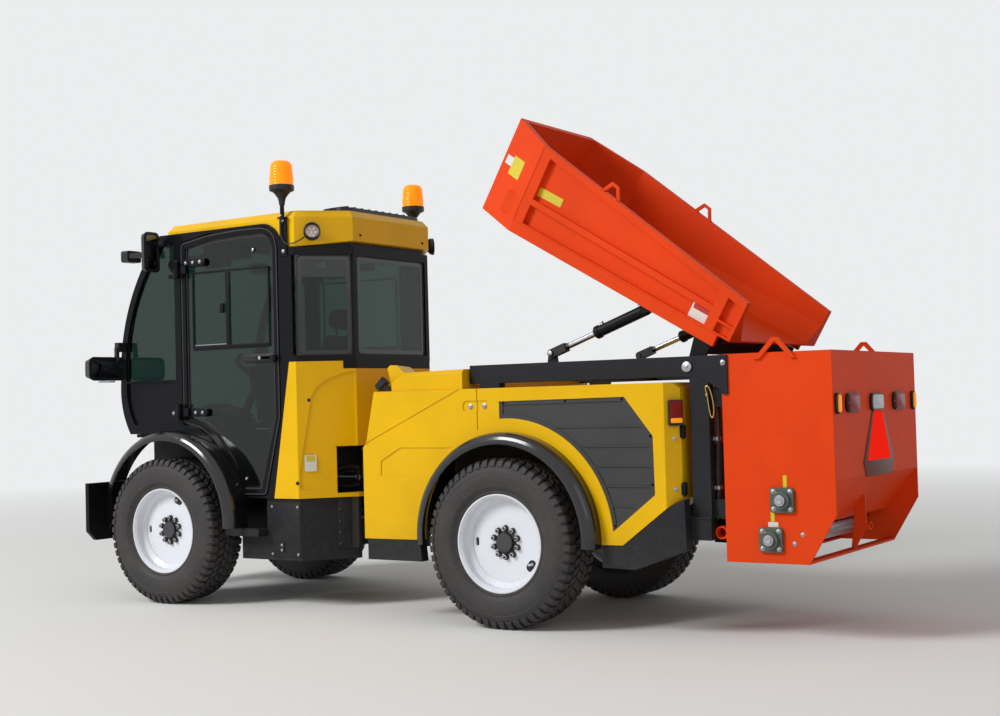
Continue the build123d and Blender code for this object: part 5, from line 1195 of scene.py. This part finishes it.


# Subframe: pin caps, end plate bolts, grease pipes and the lynch pin

bolts("pinBolts", "rear_module", "zinc", "hex", 0.0095, bothOf([((-1.760, 0.6272, 1.336), (0, 1, 0))]))
bolts("endPlateBolts", "rear_module", "zinc", "hex", 0.010, bothOf([((-1.955, 0.6312, 1.350), (0, 1, 0))]))
capRing = lathe(
    "pinCap", [(0.0, 0.0), (0.0, 0.026), (0.003, 0.026), (0.0045, 0.0235), (0.0045, 0.0)], (-1.760, 0.6265, 1.336),
    (0, 1, 0), 40
)
keep(bothSides("pinCaps", capRing), "zinc", "rear_module", 40)
pipes = []
for index, (x, y) in enumerate([(-1.886, 0.566), (-1.886, 0.540), (-1.900, 0.512)]):
    run = [
        (x, y, 1.262), (x, y, 1.20), (x - 0.006, y + 0.002, 1.0), (x + 0.004, y, 0.80), (x, y, 0.66),
        (x + 0.03, y - 0.01, 0.60), (x + 0.06, y - 0.04, 0.575)
    ]
    pipes.append(tube("pipe", run, 0.0095 - 0.001 * index, 12))
keep(bothSides("postPipes", joined("pipes", pipes)), "rubber", "rear_module", 40)
clips = []
for level in (1.19, 0.98, 0.74):
    clips.append(
        tile("clip", Spot((-1.8735, 0.540, level), (-1, 0, 0)), rounded(0.090, 0.022, 0.006), -0.003, 0.003, 0.001)
    )
    for y in (0.566, 0.540):
        clips.append(
            lathe(
                "clamp", [(-0.009, 0.0098), (-0.009, 0.0125), (0.009, 0.0125), (0.009, 0.0098)], (-1.886, y, level),
                (0, 0, 1), 20
            )
        )
keep(bothSides("pipeClips", joined("clips", clips)), "zinc", "rear_module")
pinShaft = rod("lynchShaft", (-1.868, 0.600, 1.196), (-1.868, 0.640, 1.196), 0.0065, 18, 0.0015)
wireLoop = [
    (-1.872, 0.640, 1.196), (-1.862, 0.641, 1.225), (-1.868, 0.641, 1.240), (-1.884, 0.641, 1.236),
    (-1.900, 0.640, 1.180), (-1.906, 0.639, 1.120), (-1.900, 0.639, 1.082), (-1.888, 0.639, 1.086),
    (-1.880, 0.640, 1.130), (-1.872, 0.640, 1.190)
]
pinRing = tube("lynchRing", wireLoop, 0.0030)
lookPieces("lynchPin", [pinShaft, pinRing], "brass", "rear_module", 40)
print("stage 9: engine cover and subframe trim")


# Hopper: blank labels and weld seams

def hopperTile(name, look, along, up, wide, high, out):
    spot = Spot(onHopper(along, out, up), (0, 1, 0), hopperUp)
    return keep(tile(name, spot, rounded(wide, high, 0.004), 0.0001, 0.0008, 0), look, "hopper")


hopperTile("sideLabel", "labelYellow", 1.160, 0.400, 0.160, 0.048, 0.5404)
hopperTile("tailLabel", "labelWhite", 0.098, 0.250, 0.112, 0.092, 0.5404)
hopperTile("tailLabelBar", "labelRed", 0.098, 0.272, 0.094, 0.026, 0.5410)


def onNose(side, share, up):  # a place on the cut front corner of the hopper
    turn = math.hypot(0.328, 0.181)
    out = (hopperAlong * 0.181 + Vector((0, side * 0.328, 0))) / turn
    return Spot(onHopper(1.302 + 0.328 * share, side * (0.570 - 0.181 * share), up), out, hopperUp)


keep(
    tile("noseLabel", onNose(1, 0.52, 0.443), rounded(0.134, 0.106, 0.004), 0.0001, 0.0008, 0), "labelYellow",
    "hopper"
)
keep(
    tile("noseLabelPlate", onNose(1, 0.80, 0.455), rounded(0.085, 0.050, 0.003), 0.0001, 0.0009, 0), "labelWhite",
    "hopper"
)
seams = []
for side in (1, -1):
    y = side * 0.5685
    seams.append(
        tube("seam", [onHopper(-0.118, y, 0.2035), onHopper(0.6, y, 0.2035), onHopper(1.300, y, 0.2035)], 0.0035, 6)
    )
    seams.append(
        tube(
            "seam",
            [
                onHopper(1.302, side * 0.5695, 0.21), onHopper(1.302, side * 0.5695, 0.40),
                onHopper(1.302, side * 0.5695, 0.63)
            ],
            0.0030, 6
        )
    )
    for x in (0.775, 0.876):
        seams.append(
            tube(
                "seam",
                [
                    onHopper(x - 0.012, side * 0.5585, 0.5515 + (x - 0.775) * 0.154),
                    onHopper(x + 0.012, side * 0.5585, 0.5555 + (x - 0.775) * 0.154)
                ],
                0.0035, 6
            )
        )
lookPieces("hopperSeams", seams, "orange", "hopper", 40)


# Tipping cylinders: ports, gland nuts and fork pins

cylinderStart = onHopper(0.370, 0.500, 0.150)
cylinderEnd = Vector((rodFork[0], 0.500, rodFork[1]))
run = (cylinderEnd - cylinderStart).normalized()
lift = Vector((-run.z, 0, run.x))
for side, tag in ((1, "left"), (-1, "right")):
    def place(along, up=0.0, out=0.0):
        spot = cylinderStart + run * along + lift * up
        return Vector((spot.x, side * (spot.y + out), spot.z))
    fittings = []
    for along in (0.060, 0.300):
        fittings.append(rod("boss", place(along, 0.024), place(along, 0.035), 0.012, 20, 0.002))
        fittings.append(rod("nut", place(along, 0.035), place(along, 0.043), 0.0115, 6, 0.001))
    lookPieces("cylinderPorts_" + tag, fittings, "zinc", "tip_barrel_" + tag, 30)
    gland = lathe(
        "gland", [(0.0, 0.0175), (0.0, 0.0315), (0.016, 0.0315), (0.020, 0.028), (0.020, 0.0175)], place(0.332),
        (run.x, 0, run.z), 40
    )
    keep(gland, "castIron", "tip_barrel_" + tag, 40).name = "cylinderGland_" + tag
    forkPin = lathe(
        "forkPin", [(0.0, 0.0), (0.0, 0.0135), (0.004, 0.0135), (0.0055, 0.0115), (0.0055, 0.0)],
        (cylinderEnd.x, side * (0.500 + 0.029), cylinderEnd.z), (0, side, 0), 28
    )
    keep(forkPin, "zinc", "tip_rod_" + tag, 40).name = "forkPin_" + tag
print("stage 10: hopper and cylinder trim")


# Spreader box: bearing bolts, shaft collars, lamps, marker and blank labels

bearing = {"places": [(-2.238, 0.688), (-2.176, 0.499)], "out": 0.6373, "bolt": 0.0415}
spots = [
    ((x + a * bearing["bolt"], bearing["out"], z + b * bearing["bolt"]), (0, 1, 0)) for x,
    z in bearing["places"] for a in (1, -1) for b in (1, -1)
]
bolts("bearingBolts", "rear_module", "zinc", "hex", 0.0088, bothOf(spots))
nipples = []
for x, z in bearing["places"]:
    nipples.append(
        lathe(
            "nipple",
            [
                (0.0, 0.0), (0.0, 0.005), (0.006, 0.005), (0.007, 0.0032), (0.013, 0.0032), (0.015, 0.002),
                (0.015, 0.0)
            ],
            (x + 0.020, 0.648, z + 0.034), (0.4, 0.6, 0.9), 16
        )
    )
keep(bothSides("greaseNipples", joined("nipples", nipples)), "brass", "rear_module", 40)
for name, (x, z) in zip(("upper_rotor", "lower_rotor"), bearing["places"]):
    collar = lathe(
        "collar", [(0.0, 0.0172), (0.0, 0.0260), (0.0115, 0.0260), (0.013, 0.0245), (0.013, 0.0172)], (x, 0.6560, z),
        (0, 1, 0), 36
    )
    punch = lathe(
        "punch", [(-0.001, 0.0), (-0.001, 0.0165), (0.0012, 0.0150), (0.0012, 0.005), (-0.0005, 0.0)], (x, 0.6732, z),
        (0, 1, 0), 30
    )
    keep(bothSides("shaftEnds_" + name, joined("shaftEnd", [collar, punch])), "zinc", name, 35)
for tag, x, z, wide, high, look in [
    ("upper", -2.251, 0.776, 0.020, 0.058, "labelYellow"), ("middle", -2.184, 0.613, 0.020, 0.056, "labelYellow"),
    ("lower", -2.186, 0.572, 0.052, 0.024, "labelWhite")
]:
    keep(
        tile("boxLabel_" + tag, Spot((x, 0.621, z), (0, 1, 0)), rounded(wide, high, 0.003), 0.0001, 0.0008, 0), look,
        "rear_module"
    )
bolts(
    "boxBolts", "rear_module", "zinc", "hex", 0.0085,
    bothOf([((-2.332, 0.6212, 0.527), (0, 1, 0)), ((-2.291, 0.6212, 0.483), (0, 1, 0))])
)

boxLamps = [
    # name, across from the middle, width, height, corner radius, lens
    ("amberLeft", 0.578, 0.052, 0.100, 0.025, "amber"),
    ("redLeft", 0.380, 0.168, 0.092, 0.034, "redLens"),
    ("plate", 0.033, 0.168, 0.086, 0.026, "clearLens"),
    ("redRight", -0.313, 0.168, 0.092, 0.034, "redLens"),
    ("amberRight", -0.560, 0.052, 0.100, 0.025, "amber"),
]
bezels = []
for name, y, wide, high, corner, look in boxLamps:
    spot = Spot((-2.500, y, 1.140), (-1, 0, 0))
    bezels.append(
        sunk(tile("bezel", spot, rounded(wide, high, corner, 8), 0.0003, 0.016, 0.002), (-1, 0, 0), 0.007, 0.006)
    )
    lens = tile(
        "lampLens_" + name, spot, rounded(wide - 0.016, high - 0.016, max(corner - 0.008, 0.006), 8), 0.009, 0.022,
        0.004
    )
    keep(lens, look, "rear_module", 40)
lookPieces("lampBezels", bezels, "blackPlastic", "rear_module", 35, ["box_lamps"])
screws = [
    ((-2.516, y + wide * 0.5 - 0.0042, 1.140), (-1, 0, 0)) for name, y, wide, high, corner,
    look in boxLamps for wide in (wide, -wide + 0.0168)
]
bolts("lampScrews", "rear_module", "zinc", "cap", 0.0026, screws)

markerSpot = Spot((-2.5003, 0, 0.965), (-1, 0, 0))
outer = [(-0.200, -0.190), (0.200, -0.190), (0.232, -0.120), (0.074, 0.142), (-0.074, 0.142), (-0.232, -0.120)]
inner = [(-0.176, -0.112), (0.176, -0.112), (0.058, 0.134), (-0.058, 0.134)]
keep(tile("markerBoard", markerSpot, outer, 0.0, 0.0035, 0.0006), "markerEdge", "rear_module", 30, ["rear_marker"])
keep(tile("markerFace", markerSpot, inner, 0.0034, 0.0042, 0), "markerRed", "rear_module", 0)
print("stage 11: spreader box trim")


# Wheels: valve holes, valves and hub rings

valve = {"reach": 0.192, "front": -20, "rear": 232, "width": 0.066, "height": 0.044}
holeSpot = Spot((0, discFace, 0), (0, 1, 0))
holePattern = tile(
    "valveHole", holeSpot, rounded(valve["width"], valve["height"], valve["height"] / 2 - 0.0005, 8), 0.0, 0.0012, 0
)
stemPattern = lathe(
    "valveStem", [(-0.002, 0.0), (-0.002, 0.008), (0.004, 0.0075), (0.010, 0.0055), (0.024, 0.0050), (0.024, 0.0)],
    (0.010, discFace, 0), (0, 1, 0), 20
)
capPattern = lathe(
    "valveCap", [(0.023, 0.0), (0.023, 0.0058), (0.033, 0.0056), (0.0345, 0.0045), (0.0345, 0.0)],
    (0.010, discFace, 0), (0, 1, 0), 20
)
hubPattern = lathe(
    "hubRing", [(0.0, 0.052), (0.0, 0.064), (0.004, 0.0635), (0.006, 0.060), (0.006, 0.052)], (0, discFace, 0),
    (0, 1, 0), 56
)
for name, along, side in wheelPlaces:
    lean = math.radians(valve["rear"] if along < 0 else valve["front"])
    at = Matrix.Translation(
        (along, side * halfTrack, axleHeight)
    ) @ Matrix.Rotation(0 if side > 0 else math.pi, 4, "Z")
    turned = at @ Matrix.Rotation(lean, 4, "Y") @ Matrix.Translation((0, 0, valve["reach"]))
    keep(again(holePattern, turned, "valveHole_" + name), "blackPlastic", "wheel_" + name)
    keep(again(stemPattern, turned, "valveStem_" + name), "white", "wheel_" + name, 40)
    keep(again(capPattern, turned, "valveCap_" + name), "white", "wheel_" + name, 40)
    keep(again(hubPattern, at, "hubRing_" + name), "castIron", "wheel_" + name, 40)
for pattern in (holePattern, stemPattern, capPattern, hubPattern):
    bpy.data.objects.remove(pattern)


# Driver's seat: a cushion, a backrest and a headrest, puffed up as cloth and then sewn

seat = {
    "x": 1.183,
    "cushionLow": 0.9975,
    "voxel": 0.006,
    "pressure": 4.0,
    "frames": 20,
    "cap": 0.014,
    "lean": (0.9912, 0, 0.1322),
    "seam": 0.0055,
    "groove": 0.007,
    "dip": 0.022,
    "dipShare": 0.55,
}


def puffed(piece):  # the form swells under pressure as sewn cloth does
    useModifier(piece, "REMESH", mode="VOXEL", voxel_size=seat["voxel"])
    start = [point.co.copy() for point in piece.data.vertices]
    cloth = piece.modifiers.new("cloth", "CLOTH")
    cloth.settings.quality = 5
    cloth.settings.mass = 0.3
    cloth.settings.tension_stiffness = 12
    cloth.settings.compression_stiffness = 12
    cloth.settings.use_pressure = True
    cloth.settings.uniform_pressure_force = seat["pressure"]
    cloth.settings.effector_weights.gravity = 0
    for frameNumber in range(1, seat["frames"] + 1):
        bpy.context.scene.frame_set(frameNumber)
    pick(piece)
    ops.object.modifier_apply(modifier=cloth.name)
    for point, before in zip(piece.data.vertices, start):
        moved = point.co - before
        if moved.length > seat["cap"]:
            point.co = before + moved * (seat["cap"] / moved.length)
    bpy.context.scene.frame_set(1)
    useModifier(piece, "SUBSURF", levels=1, render_levels=1)
    return piece


def sewn(piece, spot, lines):  # lines: first place across and up, second place; each pulls a channel in
    pairs = [(Vector(first), Vector(second)) for first, second in lines]
    normals = [point.normal.copy() for point in piece.data.vertices]
    for point, normal in zip(piece.data.vertices, normals):
        if normal.dot(spot.out) < 0.3:
            continue
        offset = point.co - spot.centre
        flat = Vector((offset.dot(spot.across), offset.dot(spot.up)))
        pull = 0
        for first, second in pairs:
            along = second - first
            share = min(max((flat - first).dot(along) / along.length_squared, 0), 1)
            gap = (flat - first - along * share).length
            groove = math.exp(-((gap / seat["groove"]) ** 2))
            pull = max(pull, groove + seat["dipShare"] * math.exp(-((gap / seat["dip"]) ** 2)))
        point.co -= normal * pull * seat["seam"]
    return piece


cushionSpot = Spot((seat["x"], 0, seat["cushionLow"]), (0, 0, 1), (1, 0, 0))
cushion = tile("cushion", cushionSpot, rounded(0.462, 0.452, 0.075, 8), 0.010, 0.098, 0.022)
puffed(cushion)
sewn(
    cushion, cushionSpot,
    [
        ((-0.135, -0.22), (-0.135, 0.15)), ((0.135, -0.22), (0.135, 0.15)), ((-0.135, 0.15), (0.135, 0.15)),
        ((-0.135, 0.03), (0.135, 0.03)), ((-0.135, -0.09), (0.135, -0.09))
    ]
)
keep(cushion, "seatCloth", "front_module", 0, ["driver_seat"]).name = "seatCushion"
backSpot = Spot((1.004, 0, 1.435), seat["lean"], (-0.1322, 0, 0.9912))
backOutline = filleted(
    [
        (-0.205, -0.285, 0.05), (0.205, -0.285, 0.05), (0.215, 0.01, 0.3), (0.150, 0.215, 0.06),
        (-0.150, 0.215, 0.06), (-0.215, 0.01, 0.3)
    ]
)
backPad = tile("backPad", backSpot, backOutline, -0.080, -0.010, 0.020)
puffed(backPad)
sewn(
    backPad, backSpot,
    [
        ((-0.120, -0.27), (-0.120, 0.10)), ((0.120, -0.27), (0.120, 0.10)), ((-0.120, 0.10), (0.120, 0.10)),
        ((-0.120, -0.02), (0.120, -0.02)), ((-0.120, -0.14), (0.120, -0.14))
    ]
)
keep(backPad, "seatCloth", "front_module", 0).name = "seatBack"
headSpot = Spot(backSpot.point(0, 0.305), seat["lean"], (-0.1322, 0, 0.9912))
headPad = tile("headPad", headSpot, rounded(0.240, 0.120, 0.045, 8), -0.072, -0.012, 0.018)
puffed(headPad)
sewn(headPad, headSpot, [((-0.085, -0.05), (-0.085, 0.05)), ((0.085, -0.05), (0.085, 0.05))])
keep(headPad, "seatCloth", "front_module", 0).name = "headRest"
shell = [
    tile(
        "shell", backSpot,
        filleted(
            [
                (-0.19, -0.29, 0.05), (0.19, -0.29, 0.05), (0.20, -0.02, 0.3), (0.15, 0.14, 0.06),
                (-0.15, 0.14, 0.06), (-0.20, -0.02, 0.3)
            ]
        ),
        -0.099, -0.084, 0.005
    )
]
shell.append(tile("pan", cushionSpot, rounded(0.44, 0.43, 0.06), -0.0005, 0.009, 0.003))
for y in (-0.055, 0.055):
    shell.append(rod("post", backSpot.point(y, 0.19, -0.045), backSpot.point(y, 0.27, -0.045), 0.0065, 14))
shell.append(block("recliner", (0.985, 0.232, 1.115), (0.075, 0.022, 0.120), 0.008))
shell.append(block("recliner", (0.985, -0.232, 1.115), (0.075, 0.022, 0.120), 0.008))
shell.append(tile("bracket", Spot((0.986, 0, 1.125), (-1, 0, 0)), rounded(0.230, 0.190, 0.02), -0.012, 0.006, 0.003))
lookPieces("seatShell", shell, "blackPlastic", "front_module")
print("stage 12: seat")


# Inside the cab: console with its joystick, dash top, display, headliner, blind and floor mat

inside = [
    tile(
        "console", Spot((1.230, -0.350, 1.120), (0, 0, 1), (1, 0, 0)), rounded(0.110, 0.420, 0.035), -0.070, 0.022,
        0.010
    ),
    tile(
        "consoleFoot", Spot((1.150, -0.350, 0.880), (0, 0, 1), (1, 0, 0)), rounded(0.080, 0.200, 0.020), -0.204,
        0.175, 0.006
    ),
    lathe(
        "boot",
        [
            (0.0, 0.0), (0.0, 0.034), (0.010, 0.030), (0.018, 0.032), (0.026, 0.024), (0.034, 0.025), (0.044, 0.014),
            (0.044, 0.0)
        ],
        (1.365, -0.350, 1.141), (0.10, 0, 1), 32
    ),
    lathe(
        "grip",
        [
            (0.040, 0.0), (0.040, 0.010), (0.075, 0.011), (0.085, 0.018), (0.120, 0.021), (0.155, 0.020),
            (0.175, 0.026), (0.192, 0.024), (0.200, 0.014), (0.202, 0.0)
        ],
        (1.365, -0.350, 1.141), (0.10, 0, 1), 32
    ),
    tile("dashTop", Spot((2.023, 0, 1.096), (0, 0, 1), (1, 0, 0)), rounded(0.600, 0.190, 0.045), 0.0, 0.028, 0.010),
    tile(
        "dashHood", Spot((1.985, 0, 1.170), (-0.85, 0, 0.53), (0.53, 0, 0.85)), rounded(0.260, 0.130, 0.030), -0.040,
        0.006, 0.008
    ),
    rod("displayArm", (1.960, -0.330, 1.110), (1.935, -0.350, 1.300), 0.010, 16, 0.002),
    tile(
        "display", Spot((1.925, -0.352, 1.345), (-0.95, 0.25, 0.18)), rounded(0.200, 0.130, 0.012), -0.014, 0.014,
        0.004
    ),
    lathe(
        "wheelHub", [(0.0, 0.0), (0.0, 0.046), (0.010, 0.046), (0.024, 0.036), (0.028, 0.020), (0.028, 0.0)],
        (1.5946, 0, 1.454), (-0.6, 0, 1), 40
    ),
]
for across in (-0.075, -0.045, -0.015, 0.015):
    inside.append(
        tile(
            "key", Spot((1.180 + across, -0.350, 1.142), (0, 0, 1), (1, 0, 0)), rounded(0.050, 0.018, 0.003, 2), 0.0,
            0.006, 0.001
        )
    )
lookPieces("consoleAndDash", inside, "blackPlastic", "front_module")
keep(
    sunk(
        tile(
            "gauges", Spot((1.985, 0, 1.170), (-0.85, 0, 0.53), (0.53, 0, 0.85)), rounded(0.230, 0.104, 0.022), 0.004,
            0.0085, 0.001
        ),
        Spot((0, 0, 0), (-0.85, 0, 0.53)).out, 0.006, 0.002
    ),
    "mirrorGlass", "front_module"
)
keep(
    tile(
        "displayScreen", Spot((1.925, -0.352, 1.345), (-0.95, 0.25, 0.18)), rounded(0.176, 0.106, 0.006), 0.0135,
        0.0148, 0
    ),
    "mirrorGlass", "front_module"
)
liner = sunk(
    tile(
        "headliner", Spot((1.340, 0, 2.288), (0, 0, -1), (1, 0, 0)), rounded(1.150, 1.030, 0.09), -0.004, 0.006, 0.002
    ),
    (0, 0, -1), 0.120, 0.004
)
keep(liner, "linerCloth", "front_module")
blind = [
    tile("blind", Spot((1.425, 0.584, 2.155), (0, 1, 0)), rounded(0.232, 0.190, 0.016), -0.002, 0.002, 0.0008),
    rod("blindRod", (1.300, 0.584, 2.252), (1.560, 0.584, 2.252), 0.006, 14, 0.001)
]
keep(bothSides("sunBlinds", joined("blinds", blind)), "blackPlastic", "front_module")
mat = [tile("mat", Spot((1.700, 0, 0.6755), (0, 0, 1), (1, 0, 0)), rounded(0.760, 0.440, 0.05), 0.0, 0.006, 0.002)]
matRibs = {"count": 18, "start": 1.510, "pitch": 0.0225}
for index in range(matRibs["count"]):
    mat.append(block("rib", (matRibs["start"] + index * matRibs["pitch"], 0, 0.6825), (0.008, 0.700, 0.004), 0.0012))
lookPieces("floorMat", mat, "rubber", "front_module")


# Between the modules: valve block, pipes and couplings on each side

for tag, x, facing, body in (("front", 0.560, -1, "front_module"), ("rear", 0.262, 1, "rear_module")):
    solids, ends = [], []
    solids.append(block("valveBlock", (x, 0.190, 0.795), (0.060, 0.140, 0.100), 0.005))
    for index in range(3):
        y = 0.150 + index * 0.040
        for z in (0.772, 0.818):
            ends.append(rod("union", (x + facing * 0.028, y, z), (x + facing * 0.038, y, z), 0.0145, 6, 0.0015))
            ends.append(rod("stub", (x + facing * 0.038, y, z), (x + facing * 0.048, y, z), 0.0095, 16, 0.0015))
    for index in range(3):
        y = 0.155 + index * 0.030
        solids.append(
            tube(
                "hardPipe",
                [
                    (x + 0.004, y, 0.842), (x + 0.004, y, 0.875), (x - facing * 0.004, y + 0.01, 0.902),
                    (x - facing * 0.018, y + 0.02, 0.920), (x - facing * 0.045, y + 0.02, 0.925)
                ],
                0.0085, 10
            )
        )
    lookPieces("valveBlock_" + tag, solids, "castIron", body)
    lookPieces("couplings_" + tag, ends, "zinc", body)
bars = [
    rod("bar", (0.625, 0.250, 0.756), (0.800, 0.250, 0.756), 0.0115, 20, 0.002),
    rod("eye", (0.625, 0.250, 0.756), (0.640, 0.250, 0.756), 0.019, 20, 0.002)
]
keep(bothSides("linkBars", joined("bars", bars)), "zinc", "front_module")
hoses = [
    tube(
        "hose", [(0.625, 0.244, 0.814), (0.680, 0.250, 0.822), (0.740, 0.252, 0.812), (0.800, 0.246, 0.790)], 0.0125,
        12
    ),
    tube(
        "hose", [(0.630, 0.232, 0.788), (0.690, 0.238, 0.796), (0.750, 0.240, 0.786), (0.800, 0.232, 0.772)], 0.0105,
        12
    ),
    tube(
        "hose", [(0.625, 0.248, 0.712), (0.680, 0.250, 0.700), (0.740, 0.250, 0.694), (0.800, 0.244, 0.700)], 0.0125,
        12
    ),
]
keep(bothSides("cabHoses", joined("hoses", hoses)), "rubber", "front_module", 40)
keep(
    bothSides("splashPlates", block("splashPlate", (-0.120, 0.435, 0.715), (0.004, 0.270, 0.470), 0.001)),
    "blackPaint", "rear_module"
)
print("stage 13: inside the cab and between the modules")


# Floor, light and camera

studio = {
    "eye": (-4.8687, 7.0534, 1.1940),
    "yaw": -56.81,
    "pitch": 1.70,
    "roll": -1.53,
    "focal": 1438.757,
    "imageWidth": 1000,
    "sensor": 36.0,
    "floor": (238, 238, 236),
    "backdrop": (236, 237, 238),
    "daylight": 0.36,
}

ops.mesh.primitive_plane_add(size=80, location=(0, 0, -0.0006))
floor = bpy.context.object
floor.name = "floor"
floorFinish = Finish("floorPale", Roughness=0.9)
grain = floorFinish.noise(30, 3)
floorFinish.set(
    "Base Color", floorFinish.mixed(colour(*studio["floor"]), darker(colour(*studio["floor"]), 0.97), grain)
)
reach = floorFinish.node("ShaderNodeVectorMath", {"operation": "LENGTH"}, {0: floorFinish.where}, "Value")
seenRay = floorFinish.node("ShaderNodeLightPath", {}, {}, "Is Camera Ray")
mirrorRay = floorFinish.node("ShaderNodeLightPath", {}, {}, "Is Glossy Ray")
away = floorFinish.ramp(reach, 5.0, 16.0) * seenRay.maths("MAXIMUM", mirrorRay)
glow = floorFinish.node("ShaderNodeEmission", {}, {"Color": colour(*studio["backdrop"]), "Strength": 1.0}, "Emission")
body = Wire(floorFinish, floorFinish.shader.outputs[0])
blended = floorFinish.node("ShaderNodeMixShader", {}, {0: away, 1: body, 2: glow}, "Shader")
floorFinish.plug(floorFinish.output.inputs[0], blended)  # far off, the floor runs into the backdrop
floor.data.materials.append(floorFinish.material)

lamps = {
    # name: place, size, watts
    "key": ((9.0, 15.5, 13.5), 7.0, 3300),
    "fill": ((-10.0, 8.0, 6.0), 6.0, 70),
}
for name, (spot, size, power) in lamps.items():
    ops.object.light_add(type="AREA", location=spot)
    lamp = bpy.context.object
    lamp.name = name
    lamp.data.size = size
    lamp.data.energy = power
    lamp.rotation_euler = (Vector(spot) - Vector((-0.3, 0, 0.9))).to_track_quat("Z", "Y").to_euler()

world = bpy.data.worlds.new("studio")
bpy.context.scene.world = world
world.use_nodes = True
sky = world.node_tree
sky.nodes.clear()
lit = sky.nodes.new("ShaderNodeBackground")
lit.inputs["Color"].default_value = (1, 1, 1, 1)
lit.inputs["Strength"].default_value = studio["daylight"]
seen = sky.nodes.new("ShaderNodeBackground")
seen.inputs["Color"].default_value = colour(*studio["backdrop"])
path = sky.nodes.new("ShaderNodeLightPath")
eitherRay = sky.nodes.new("ShaderNodeMath")
eitherRay.operation = "MAXIMUM"
anyRay = sky.nodes.new("ShaderNodeMath")
anyRay.operation = "MAXIMUM"
blendSky = sky.nodes.new("ShaderNodeMixShader")
skyOut = sky.nodes.new("ShaderNodeOutputWorld")
sky.links.new(path.outputs["Is Camera Ray"], eitherRay.inputs[0])
sky.links.new(path.outputs["Is Glossy Ray"], eitherRay.inputs[1])
sky.links.new(eitherRay.outputs[0], anyRay.inputs[0])
sky.links.new(path.outputs["Is Transmission Ray"], anyRay.inputs[1])
sky.links.new(anyRay.outputs[0], blendSky.inputs[0])
sky.links.new(lit.outputs[0], blendSky.inputs[1])
sky.links.new(seen.outputs[0], blendSky.inputs[2])
sky.links.new(blendSky.outputs[0], skyOut.inputs[0])

yaw, pitch, roll = (math.radians(studio[key]) for key in ("yaw", "pitch", "roll"))
ahead = Vector((math.cos(yaw) * math.cos(pitch), math.sin(yaw) * math.cos(pitch), math.sin(pitch)))
right = ahead.cross(Vector((0, 0, 1))).normalized()
up = right.cross(ahead)
rightRolled = right * math.cos(roll) + up * math.sin(roll)
upRolled = up * math.cos(roll) - right * math.sin(roll)
ops.object.camera_add(location=studio["eye"])
camera = bpy.context.object
camera.data.sensor_width = studio["sensor"]
camera.data.lens = studio["focal"] * studio["sensor"] / studio["imageWidth"]
camera.matrix_world = Matrix.Translation(studio["eye"]) @ Matrix(
    (rightRolled, upRolled, -ahead)
).transposed().to_4x4()
bpy.context.scene.camera = camera
bpy.context.scene.view_settings.view_transform = "Standard"
print("stage 14: floor, light and camera")
